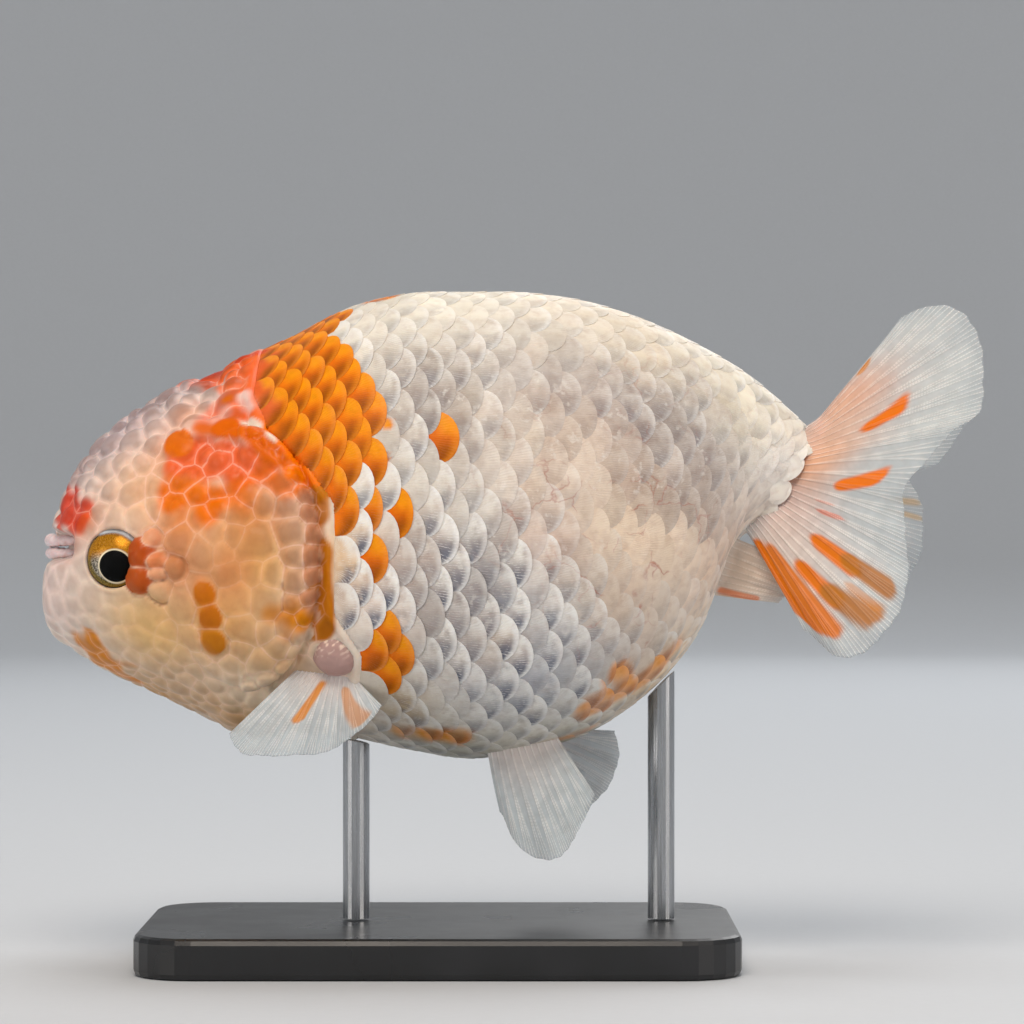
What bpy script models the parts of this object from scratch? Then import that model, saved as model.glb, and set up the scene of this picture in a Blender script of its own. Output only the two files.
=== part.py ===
"""A ranchu goldfish with a hooded head and a twin tail, life size, on a plain display stand.

The fish swims towards -X with its left side towards -Y. The origin is the middle of the stand's
underside. Tables and helper functions work in millimetres, and the meshes are scaled to metres.
"""

import math

import bmesh
import bpy
from mathutils import Matrix, Vector
from mathutils.bvhtree import BVHTree

MM = 0.001
GAP = 0.3  # clearance between neighbouring solids

# --- Body: sections from the mouth to the tail root -------------------------------------------
# top x, top z, bottom x, bottom z, half width
BODY_STATIONS = (
    (-58.2, 61.8, -58.2, 61.0, 0.4),  # between the lips
    (-57.5, 64.2, -58.2, 55.0, 6.5),
    (-56.8, 67.2, -57.8, 50.2, 10.6),
    (-55.0, 71.4, -55.8, 47.4, 13.9),
    (-52.0, 76.2, -52.0, 44.6, 17.2),
    (-48.0, 80.0, -48.0, 42.4, 19.8),  # eyes
    (-43.0, 83.4, -43.0, 40.2, 21.9),
    (-38.0, 86.3, -38.0, 37.8, 23.4),  # crown of the hood
    (-33.5, 87.3, -33.5, 35.6, 24.6),
    (-29.5, 89.9, -29.5, 33.7, 25.6),  # nape
    (-22.0, 93.3, -22.0, 33.1, 26.8),
    (-13.4, 97.6, -13.4, 33.0, 28.2),  # shoulder
    (-4.5, 99.7, -4.5, 31.2, 29.0),
    (4.5, 99.9, 4.5, 29.9, 29.0),  # deepest point, above the pelvic fins
    (13.4, 99.8, 13.4, 31.0, 28.0),
    (22.4, 98.4, 21.5, 33.4, 26.0),
    (31.3, 95.5, 28.5, 37.6, 22.8),
    (39.0, 91.9, 34.5, 43.0, 18.8),
    (45.0, 88.4, 39.2, 49.6, 14.6),  # vent
    (49.5, 84.9, 41.4, 55.6, 10.9),
    (53.0, 81.7, 42.9, 60.6, 8.0),
    (55.6, 79.2, 46.2, 64.3, 5.6),  # tail root
)
WIDEST_SHARE = 0.46  # height of the widest point, as a share of the section from its bottom
BACK_ROUNDNESS = 2.25  # superellipse exponents above and below that point
BELLY_ROUNDNESS = 2.1
RINGS_PER_STATION = 2
RING_SEGMENTS = 28
AXIS_Z = 61.0  # height of the line that the side features are measured round

# --- Cuts between the body's parts, as lines in the XZ plane -----------------------------------
NAPE_CUT = ((-31.0, 110.0), (-31.0, 88.5), (-15.5, 33.5), (-15.5, 20.0))
STALK_CUT = ((45.5, 110.0), (45.5, 94.0), (34.5, 54.0), (34.5, 20.0))
HOOD_CUT = ((-75.0, 64.0), (-57.5, 67.6), (-48.0, 71.0), (0.0, 80.0))
FAR = 130.0  # reach of the cutting blocks past the body

# --- Features on the head, one on each side ----------------------------------------------------
GILL_COVER = {"x": -28.4, "turn": -3.0, "length": 11.2, "spread": 43.0, "rise": 2.4, "sink": 1.6}
EYE_X = -46.3
EYE_TURN = -3.4
EYE_RADIUS = 4.7
EYE_SINK = 2.75  # how far the eyeball's middle lies inside the face
LIP_WIDTH = 4.6
LIP_DEPTH = 4.6
LIP_FRONT_X = -58.2
LIP_BEND = math.radians(80)  # half the arc that a lip takes round the mouth
LIP_BLUNT = 0.5  # 1 makes the ends of a lip round, less makes them fuller
UPPER_LIP = {"z": 62.75, "radius": 1.0}
LOWER_LIP = {"z": 60.6, "radius": 0.85}

# --- Fins: root line, then rays as (share of the root, slope, length, flare) --------------------
# Slope is the ray's angle above the tail's direction, and flare the angle away from the midplane.
FIN_ROOT_THICK = 1.8
FIN_TIP_THICK = 0.55
TAIL_ROOT = ((55.2, 2.3, 79.0), (45.4, 2.3, 64.8))
TAIL_NOTCH = 0.46  # share of the tail root where the upper lobe meets the lower one
LEFT_TAIL_RAYS = (
    (0.00, 51, 21.0, 13),
    (0.05, 46, 26.0, 15),
    (0.10, 39, 28.9, 18),
    (0.17, 31, 29.6, 20),
    (0.24, 22, 28.5, 23),
    (0.32, 14, 27.0, 26),
    (0.39, 10, 22.7, 29),
    (0.46, -6, 17.8, 31),
    (0.55, -21, 19.5, 32),
    (0.65, -32, 22.7, 33),
    (0.75, -41, 24.8, 33),
    (0.85, -52, 25.3, 32),
    (0.93, -59, 23.2, 31),
    (1.00, -63, 17.1, 30),
)
RIGHT_TAIL_RAYS = (
    (0.00, 49, 21.4, 13),
    (0.08, 39, 28.5, 17),
    (0.17, 29, 30.6, 20),
    (0.27, 15, 28.6, 24),
    (0.37, 3, 25.2, 28),
    (0.46, -1, 21.3, 31),
    (0.55, -10, 24.4, 32),
    (0.65, -23, 26.2, 33),
    (0.78, -36, 26.4, 33),
    (0.90, -48, 24.4, 31),
    (1.00, -58, 16.0, 30),
)
PELVIC_ROOT = ((7.0, 7.6, 32.4), (17.2, 7.6, 34.0))
LEFT_PELVIC_RAYS = (
    (0.00, -80, 9.8, 10),
    (0.10, -79, 13.7, 12),
    (0.22, -76, 16.7, 14),
    (0.40, -70, 17.8, 16),
    (0.60, -66, 16.1, 18),
    (0.80, -63, 13.3, 20),
    (1.00, -56, 10.1, 20),
)
RIGHT_PELVIC_RAYS = (
    (0.00, -66, 16.0, 10),
    (0.20, -54, 17.7, 14),
    (0.40, -42, 16.0, 16),
    (0.60, -31, 15.0, 18),
    (0.80, -19, 12.5, 20),
    (1.00, -2, 9.0, 20),
)
PECTORAL_ROOT = ((-18.8, 19.6, 45.6), (-12.0, 20.4, 43.0))
PECTORAL_RAYS = (
    (0.00, -137, 14.8, 28),
    (0.12, -133, 15.7, 29),
    (0.25, -127, 15.8, 31),
    (0.40, -119, 14.3, 32),
    (0.55, -107, 12.4, 32),
    (0.70, -94, 10.8, 30),
    (0.85, -78, 8.2, 26),
    (1.00, -44, 5.6, 22),
)
PECTORAL_PAD = {"middle": (-15.4, 20.4, 45.3), "radii": (3.3, 2.6, 3.2)}
ANAL_ROOT = ((40.0, 2.0, 54.6), (43.4, 2.0, 63.2))
ANAL_RAYS = ((0.0, -7, 10.4, 10), (0.5, -19, 10.9, 10), (1.0, -22, 9.3, 10))
FIN_CAMBER = 0.06  # how far a fin bellies out, as a share of the ray's length

# --- Stand ------------------------------------------------------------------------------------
BASE_SIZE = (88.0, 56.0, 6.0)
BASE_CORNER = 9.0
BASE_EDGE = 0.9
ROD_RADIUS = 2.0
ROD_X = {"front": -12.5, "rear": 33.0}
ROD_TOP = 47.0  # inside the belly, which trims the rods to its own curve

COLOURS = {
    "skin": ((0.86, 0.74, 0.68), 0.35),
    "hood": ((0.85, 0.76, 0.76), 0.35),
    "cover": ((0.90, 0.66, 0.50), 0.35),
    "fin": ((0.72, 0.76, 0.80), 0.3),
    "lip": ((0.88, 0.72, 0.70), 0.35),
    "eye": ((0.05, 0.05, 0.05), 0.08),
    "base": ((0.03, 0.03, 0.03), 0.4),
    "steel": ((0.6, 0.6, 0.6), 0.3),
}


# --- Scene helpers -----------------------------------------------------------------------------
def clear_scene():
    for obj in list(bpy.data.objects):
        bpy.data.objects.remove(obj, do_unlink=True)


def new_collection(name):
    collection = bpy.data.collections.new(name)
    bpy.context.scene.collection.children.link(collection)
    return collection


clear_scene()
PARTS = new_collection("goldfish")
CUTTERS = new_collection("cutters")
CUTTERS.hide_render = True


def face_outward(bm):
    bmesh.ops.recalc_face_normals(bm, faces=bm.faces)
    if bm.calc_volume(signed=True) < 0:
        bmesh.ops.reverse_faces(bm, faces=bm.faces)
    bm.normal_update()


def grown(bm):
    """The same closed mesh with every vertex moved out by the clearance."""
    face_outward(bm)
    moves = [vert.normal * GAP for vert in bm.verts]
    for vert, move in zip(bm.verts, moves):
        vert.co += move
    return bm


def add_object(name, bm, collection):
    """Writes the bmesh, in millimetres, as an object in metres."""
    face_outward(bm)
    bmesh.ops.scale(bm, vec=(MM, MM, MM), verts=bm.verts)
    mesh = bpy.data.meshes.new(name)
    bm.to_mesh(mesh)
    bm.free()
    mesh.shade_smooth()
    obj = bpy.data.objects.new(name, mesh)
    collection.objects.link(obj)
    return obj


def add_part(name, bm, colour):
    obj = add_object(name, bm, PARTS)
    base_color, roughness = COLOURS[colour]
    material = bpy.data.materials.new(name)
    material.use_nodes = True
    shader = material.node_tree.nodes["Principled BSDF"]
    shader.inputs["Base Color"].default_value = (*base_color, 1.0)
    shader.inputs["Roughness"].default_value = roughness
    shader.inputs["Metallic"].default_value = 1.0 if colour == "steel" else 0.0
    obj.data.materials.append(material)
    return obj


def add_cutter(name, bm):
    obj = add_object(name, bm, CUTTERS)
    obj.hide_render = True
    obj.display_type = "WIRE"
    return obj


def combine(obj, other, operation="DIFFERENCE"):
    modifier = obj.modifiers.new(other.name, "BOOLEAN")
    modifier.operation = operation
    modifier.object = other


def keys_at(keys, place):
    """Catmull-Rom value of a row of numbers at a place given in rows."""
    row = min(int(place), len(keys) - 2)
    share = place - row
    before = keys[max(row - 1, 0)]
    after = keys[min(row + 2, len(keys) - 1)]
    found = []
    for a, b, c, d in zip(before, keys[row], keys[row + 1], after):
        curve = (2 * a - 5 * b + 4 * c - d) * share + (3 * b - a - 3 * c + d) * share**2
        found.append(b + share * (c - a + curve) / 2)
    return found


# --- Body --------------------------------------------------------------------------------------
def section_point(station, turn):
    """A point of the section; turn runs from 0 at the back over the right side to the belly."""
    top_x, top_z, bottom_x, bottom_z, half_width = station
    across, up = math.sin(turn), math.cos(turn)
    roundness = BACK_ROUNDNESS if up > 0 else BELLY_ROUNDNESS
    across = math.copysign(abs(across) ** (2 / roundness), across)
    rise = abs(up) ** (2 / roundness)
    share = WIDEST_SHARE + (1 - WIDEST_SHARE) * rise if up > 0 else WIDEST_SHARE * (1 - rise)
    x = bottom_x + (top_x - bottom_x) * share
    z = bottom_z + (top_z - bottom_z) * share
    return Vector((x, half_width * across, z))


def body_bmesh():
    """The whole fish's flesh as one closed loft."""
    bm = bmesh.new()
    rings = []
    last = len(BODY_STATIONS) - 1
    for step in range(last * RINGS_PER_STATION + 1):
        station = keys_at(BODY_STATIONS, step / RINGS_PER_STATION)
        turns = (2 * math.pi * k / RING_SEGMENTS for k in range(RING_SEGMENTS))
        rings.append([bm.verts.new(section_point(station, turn)) for turn in turns])
    for ring, following in zip(rings, rings[1:]):
        for k in range(RING_SEGMENTS):
            j = (k + 1) % RING_SEGMENTS
            bm.faces.new((ring[k], ring[j], following[j], following[k]))
    bm.faces.new(rings[0])
    bm.faces.new(rings[-1])
    return bm


SURFACE = BVHTree.FromBMesh(body_bmesh())
BODY_CUTTER = add_cutter("cut_body", grown(body_bmesh()))


def on_body(x, turn, side, offset):
    """A point that lies offset outside the body, turn degrees above the level on one side."""
    axis = Vector((x, 0.0, AXIS_Z))
    away = Vector((0.0, side * math.cos(math.radians(turn)), math.sin(math.radians(turn))))
    reach = SURFACE.ray_cast(axis, away)[3]
    return axis + away * (reach + offset)


def block(name, line, reach):
    """A cutting block on one side of a line in the XZ plane, which it passes by half a gap."""
    reach = Vector(reach)
    near = [Vector(point) - reach * GAP / 2 for point in line]
    far = [point + reach * FAR for point in reversed(near)]
    bm = bmesh.new()
    outline = bm.faces.new([bm.verts.new((x, -FAR, z)) for x, z in near + far])
    extruded = bmesh.ops.extrude_face_region(bm, geom=[outline])["geom"]
    moved = [item for item in extruded if isinstance(item, bmesh.types.BMVert)]
    bmesh.ops.translate(bm, vec=(0.0, 2 * FAR, 0.0), verts=moved)
    return add_cutter(name, bm)


def flesh(name, colour, *removed):
    """The body less the blocks and features that other parts take up."""
    obj = add_part(name, body_bmesh(), colour)
    for cutter in removed:
        combine(obj, cutter)
    return obj


# --- Head features -----------------------------------------------------------------------------
def gill_cover_bmesh(side):
    """A cushion that follows the side of the head, domed outside and let into it inside."""
    cover = GILL_COVER
    bm = bmesh.new()
    bmesh.ops.create_uvsphere(bm, u_segments=18, v_segments=10, radius=1.0)
    for vert in bm.verts:
        along, out, up = vert.co
        depth = cover["rise"] if out > 0 else cover["sink"]
        x = cover["x"] + along * cover["length"]
        turn = cover["turn"] + up * cover["spread"]
        vert.co = on_body(x, turn, side, out * depth)
    return bm


def eye_bmesh(side):
    bm = bmesh.new()
    bmesh.ops.create_uvsphere(bm, u_segments=16, v_segments=9, radius=EYE_RADIUS)
    middle = on_body(EYE_X, EYE_TURN, side, -EYE_SINK)
    bmesh.ops.translate(bm, vec=middle, verts=bm.verts)
    return bm


def lip_bmesh(lip):
    """A round bar bent round the front of the mouth, with blunt ends."""
    bm = bmesh.new()
    bmesh.ops.create_uvsphere(bm, u_segments=10, v_segments=12, radius=1.0)
    upright = Matrix.Rotation(math.radians(90), 3, "X")
    bmesh.ops.rotate(bm, cent=(0, 0, 0), matrix=upright, verts=bm.verts)
    for vert in bm.verts:
        ahead, along, up = vert.co
        turn = along * LIP_BEND
        blunt = (1.0001 - along**2) ** (LIP_BLUNT / 2 - 0.5) * lip["radius"]
        front = Vector((-math.cos(turn), math.sin(turn), 0.0))
        middle = Vector((LIP_FRONT_X + LIP_DEPTH, 0.0, lip["z"]))
        spine = Vector((front.x * LIP_DEPTH, front.y * LIP_WIDTH, 0.0))
        vert.co = middle + spine - front * ahead * blunt + Vector((0.0, 0.0, up * blunt))
    return bm


# --- Fins --------------------------------------------------------------------------------------
def fin_point(root, rays, side, share, out):
    """A point of a fin: share runs along its root, and out from the root to the margin."""
    row = next((k for k in range(1, len(rays)) if rays[k][0] >= share), len(rays) - 1)
    first, second = rays[row - 1][0], rays[row][0]
    _, slope, length, flare = keys_at(rays, row - 1 + (share - first) / (second - first))
    slope, flare = math.radians(slope), math.radians(flare)
    ray = Vector((math.cos(slope), math.tan(flare), math.sin(slope))) * length * out
    ray.y += FIN_CAMBER * length * math.sin(math.pi * out)
    point = Vector(root[0]).lerp(Vector(root[1]), share) + ray
    point.y *= side
    return point


def fin_bmesh(root, rays, side, shares=(0.0, 1.0), columns=10, rows=6):
    bm = bmesh.new()
    bmesh.ops.create_grid(bm, x_segments=columns, y_segments=rows, size=0.5)
    weights = bm.verts.layers.deform.verify()
    for vert in bm.verts:
        along, out = vert.co.x + 0.5, vert.co.y + 0.5
        share = shares[0] + (shares[1] - shares[0]) * along
        vert[weights][0] = (1 - out) ** 1.5
        vert.co = fin_point(root, rays, side, share, out)
    return bm


def fin(name, root, rays, side, **span):
    """A fin as a thin curved plate, thick at its root, trimmed where it meets the body."""
    obj = add_part(name, fin_bmesh(root, rays, side, **span), "fin")
    group = obj.vertex_groups.new(name="root")
    plate = obj.modifiers.new("plate", "SOLIDIFY")
    plate.thickness = FIN_ROOT_THICK * MM
    plate.offset = 0.0
    plate.vertex_group = group.name
    plate.thickness_vertex_group = FIN_TIP_THICK / FIN_ROOT_THICK
    return obj


def ellipsoid_bmesh(middle, radii, side):
    bm = bmesh.new()
    bmesh.ops.create_uvsphere(bm, u_segments=14, v_segments=8, radius=1.0)
    bmesh.ops.scale(bm, vec=radii, verts=bm.verts)
    x, y, z = middle
    bmesh.ops.translate(bm, vec=(x, side * y, z), verts=bm.verts)
    return bm


def paired_fins(word, side, tail_rays, pelvic_rays):
    """All the fins of one side."""
    notch = GAP / 2 / (Vector(TAIL_ROOT[0]) - Vector(TAIL_ROOT[1])).length * 1.4
    upper = fin(f"tail_upper_{word}", TAIL_ROOT, tail_rays, side, shares=(0.0, TAIL_NOTCH - notch))
    lower = fin(f"tail_lower_{word}", TAIL_ROOT, tail_rays, side, shares=(TAIL_NOTCH + notch, 1.0))
    pelvic = fin(f"pelvic_fin_{word}", PELVIC_ROOT, pelvic_rays, side)
    anal = fin(f"anal_fin_{word}", ANAL_ROOT, ANAL_RAYS, side, columns=6, rows=5)
    pectoral = fin(f"pectoral_fin_{word}", PECTORAL_ROOT, PECTORAL_RAYS, side)
    pad = add_cutter(f"join_pectoral_pad_{word}", ellipsoid_bmesh(side=side, **PECTORAL_PAD))
    combine(pectoral, pad, "UNION")
    for obj in (upper, lower, pelvic, anal, pectoral):
        combine(obj, BODY_CUTTER)


# --- Stand -------------------------------------------------------------------------------------
def stand_base():
    bm = bmesh.new()
    bmesh.ops.create_cube(bm, size=1.0)
    bmesh.ops.scale(bm, vec=BASE_SIZE, verts=bm.verts)
    bmesh.ops.translate(bm, vec=(0, 0, BASE_SIZE[2] / 2), verts=bm.verts)
    upright = [edge for edge in bm.edges if abs(edge.verts[0].co.z - edge.verts[1].co.z) > 1]
    bmesh.ops.bevel(bm, geom=upright, offset=BASE_CORNER, segments=6, profile=0.5, affect="EDGES")
    obj = add_part("stand_base", bm, "base")
    edge = obj.modifiers.new("edge", "BEVEL")
    edge.width = BASE_EDGE * MM
    edge.segments = 2
    edge.limit_method = "ANGLE"
    edge.angle_limit = math.radians(50)
    obj.data.set_sharp_from_angle(angle=math.radians(35))


def stand_rod(word, x):
    bottom = BASE_SIZE[2] + GAP
    bm = bmesh.new()
    bmesh.ops.create_cone(
        bm, cap_ends=True, segments=20, radius1=ROD_RADIUS, radius2=ROD_RADIUS, depth=ROD_TOP - bottom
    )
    bmesh.ops.translate(bm, vec=(x, 0, (ROD_TOP + bottom) / 2), verts=bm.verts)
    obj = add_part(f"stand_rod_{word}", bm, "steel")
    combine(obj, BODY_CUTTER)
    obj.data.set_sharp_from_angle(angle=math.radians(35))


# --- Assembly ----------------------------------------------------------------------------------
SIDES = {"left": -1, "right": 1}

features = []
for word, side in SIDES.items():
    add_part(f"gill_cover_{word}", gill_cover_bmesh(side), "cover")
    add_part(f"eye_{word}", eye_bmesh(side), "eye")
    features.append(add_cutter(f"cut_gill_cover_{word}", grown(gill_cover_bmesh(side))))
    features.append(add_cutter(f"cut_eye_{word}", grown(eye_bmesh(side))))
for word, lip in {"upper": UPPER_LIP, "lower": LOWER_LIP}.items():
    add_part(f"lip_{word}", lip_bmesh(lip), "lip")
    features.append(add_cutter(f"cut_lip_{word}", grown(lip_bmesh(lip))))

behind_nape = block("cut_behind_nape", NAPE_CUT, (1, 0))
before_nape = block("cut_before_nape", NAPE_CUT, (-1, 0))
behind_stalk = block("cut_behind_stalk", STALK_CUT, (1, 0))
before_stalk = block("cut_before_stalk", STALK_CUT, (-1, 0))
above_hood = block("cut_above_hood", HOOD_CUT, (0, 1))
below_hood = block("cut_below_hood", HOOD_CUT, (0, -1))

flesh("head", "skin", behind_nape, above_hood, *features)
flesh("hood", "hood", behind_nape, below_hood, *features)
flesh("trunk", "skin", before_nape, behind_stalk, *features)
flesh("tail_stalk", "skin", before_stalk)

paired_fins("left", SIDES["left"], LEFT_TAIL_RAYS, LEFT_PELVIC_RAYS)
paired_fins("right", SIDES["right"], RIGHT_TAIL_RAYS, RIGHT_PELVIC_RAYS)

stand_base()
for word, x in ROD_X.items():
    stand_rod(word, x)
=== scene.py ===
"""The looks of a ranchu goldfish model, life size, on its display stand.

The fish swims towards -X with its left side towards -Y. Tables and sums are in millimetres, and
every mesh is written in metres.
"""

import math

import bpy
import numpy as np
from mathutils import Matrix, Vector


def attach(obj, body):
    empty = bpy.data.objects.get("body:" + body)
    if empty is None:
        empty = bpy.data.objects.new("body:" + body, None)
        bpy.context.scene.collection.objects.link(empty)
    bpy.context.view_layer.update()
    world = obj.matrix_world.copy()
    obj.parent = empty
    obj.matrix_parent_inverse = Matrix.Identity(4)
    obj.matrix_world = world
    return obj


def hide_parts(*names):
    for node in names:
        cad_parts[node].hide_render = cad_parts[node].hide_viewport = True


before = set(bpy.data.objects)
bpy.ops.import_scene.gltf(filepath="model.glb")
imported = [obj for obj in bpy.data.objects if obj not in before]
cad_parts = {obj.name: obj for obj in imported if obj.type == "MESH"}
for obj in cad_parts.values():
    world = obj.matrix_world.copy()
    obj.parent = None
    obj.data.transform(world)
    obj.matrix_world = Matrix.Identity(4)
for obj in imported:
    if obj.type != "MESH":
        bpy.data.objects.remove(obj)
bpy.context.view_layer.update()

MM = 0.001
SIDES = {"left": -1, "right": 1}
RANDOM = np.random.default_rng(23)

# --- Body: the sections that the solids were lofted through --------------------------------------
# top x, top z, bottom x, bottom z, half width
BODY_STATIONS = (
    (-58.2, 61.8, -58.2, 61.0, 0.4),
    (-57.5, 64.2, -58.2, 55.0, 6.5),
    (-56.8, 67.2, -57.8, 50.2, 10.6),
    (-55.0, 71.4, -55.8, 47.4, 13.9),
    (-52.0, 76.2, -52.0, 44.6, 17.2),
    (-48.0, 80.0, -48.0, 42.4, 19.8),
    (-43.0, 83.4, -43.0, 40.2, 21.9),
    (-38.0, 86.3, -38.0, 37.8, 23.4),
    (-33.5, 87.3, -33.5, 35.6, 24.6),
    (-29.5, 89.9, -29.5, 33.7, 25.6),
    (-22.0, 93.3, -22.0, 33.1, 26.8),
    (-13.4, 97.6, -13.4, 33.0, 28.2),
    (-4.5, 99.7, -4.5, 31.2, 29.0),
    (4.5, 99.9, 4.5, 29.9, 29.0),
    (13.4, 99.8, 13.4, 31.0, 28.0),
    (22.4, 98.4, 21.5, 33.4, 26.0),
    (31.3, 95.5, 28.5, 37.6, 22.8),
    (39.0, 91.9, 34.5, 43.0, 18.8),
    (45.0, 88.4, 39.2, 49.6, 14.6),
    (49.5, 84.9, 41.4, 55.6, 10.9),
    (53.0, 81.7, 42.9, 60.6, 8.0),
    (55.6, 79.2, 46.2, 64.3, 5.6),
)
WIDEST_SHARE = 0.46
BACK_ROUNDNESS = 2.25
BELLY_ROUNDNESS = 2.1
AXIS_Z = 61.0
GILL_COVER = {"x": -28.4, "turn": -3.0, "length": 11.2, "spread": 43.0, "rise": 2.4}

# --- Fins: root line, then rays as (share of the root, slope, length, flare) ---------------------
TAIL_ROOT = ((55.2, 2.3, 79.0), (45.4, 2.3, 64.8))
LEFT_TAIL_RAYS = (
    (0.00, 51, 21.0, 13),
    (0.05, 46, 26.0, 15),
    (0.10, 39, 28.9, 18),
    (0.17, 31, 29.6, 20),
    (0.24, 22, 28.5, 23),
    (0.32, 14, 27.0, 26),
    (0.39, 10, 22.7, 29),
    (0.46, -6, 17.8, 31),
    (0.55, -21, 19.5, 32),
    (0.65, -32, 22.7, 33),
    (0.75, -41, 24.8, 33),
    (0.85, -52, 25.3, 32),
    (0.93, -59, 23.2, 31),
    (1.00, -63, 17.1, 30),
)
RIGHT_TAIL_RAYS = (
    (0.00, 49, 21.4, 13),
    (0.08, 39, 28.5, 17),
    (0.17, 29, 30.6, 20),
    (0.27, 15, 28.6, 24),
    (0.37, 3, 25.2, 28),
    (0.46, -1, 21.3, 31),
    (0.55, -10, 24.4, 32),
    (0.65, -23, 26.2, 33),
    (0.78, -36, 26.4, 33),
    (0.90, -48, 24.4, 31),
    (1.00, -58, 16.0, 30),
)
PELVIC_ROOT = ((7.0, 7.6, 32.4), (17.2, 7.6, 34.0))
LEFT_PELVIC_RAYS = (
    (0.00, -80, 9.8, 10),
    (0.10, -79, 13.7, 12),
    (0.22, -76, 16.7, 14),
    (0.40, -70, 17.8, 16),
    (0.60, -66, 16.1, 18),
    (0.80, -63, 13.3, 20),
    (1.00, -56, 10.1, 20),
)
RIGHT_PELVIC_RAYS = (
    (0.00, -66, 16.0, 10),
    (0.20, -54, 17.7, 14),
    (0.40, -42, 16.0, 16),
    (0.60, -31, 15.0, 18),
    (0.80, -19, 12.5, 20),
    (1.00, -2, 9.0, 20),
)
PECTORAL_ROOT = ((-18.8, 19.6, 45.6), (-12.0, 20.4, 43.0))
PECTORAL_RAYS = (
    (0.00, -137, 14.8, 28),
    (0.12, -133, 15.7, 29),
    (0.25, -127, 15.8, 31),
    (0.40, -119, 14.3, 32),
    (0.55, -107, 12.4, 32),
    (0.70, -94, 10.8, 30),
    (0.85, -78, 8.2, 26),
    (1.00, -44, 5.6, 22),
)
PECTORAL_PAD = {"middle": (-15.4, 20.4, 45.3), "radii": (3.6, 2.9, 3.5)}
ANAL_ROOT = ((40.0, 2.0, 54.6), (43.4, 2.0, 63.2))
ANAL_RAYS = ((0.0, -7, 10.4, 10), (0.5, -19, 10.9, 10), (1.0, -22, 9.3, 10))
FIN_CAMBER = 0.06

# --- Tones of the living fish ---------------------------------------------------------------------
PEARL = "#EADFD1"
CREAM_PEARL = "#F1E6D0"
LILAC_WHITE = "#B8A3A4"
BLUE_GREY = "#ACB1BC"
PINK_WHITE = "#E6D0CA"
PEACH = "#ECBB92"
CREAM_PEACH = "#EFC796"
BUTTER = "#E6B05C"
THROAT_SAND = "#CA9A5E"
CHEEK_GOLD = "#E2A660"
BELLY_SAGE = "#BDB9A6"
DUSKY_PINK = "#C07A50"
GILL_PEACH = "#D8843A"
FAWN = "#CE8450"
SALMON = "#EE662C"
ORANGE = "#F27800"
DEEP_ORANGE = "#D85C00"
RED_ORANGE = "#DA3A10"
AMBER = "#D88400"
OCHRE = "#BE7000"
MAUVE = "#AE8E88"
FOLD_ORANGE = "#DC6400"
NAPE_PEACH = "#EC7038"
FAWN_OCHRE = "#B47A34"
BELLY_ORANGE = "#E8A068"


def linear(tone):
    """A sRGB hex colour as linear red, green and blue."""
    parts = [int(tone[k : k + 2], 16) / 255 for k in (1, 3, 5)]
    return [p / 12.92 if p <= 0.04045 else ((p + 0.055) / 1.055) ** 2.4 for p in parts]


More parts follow.
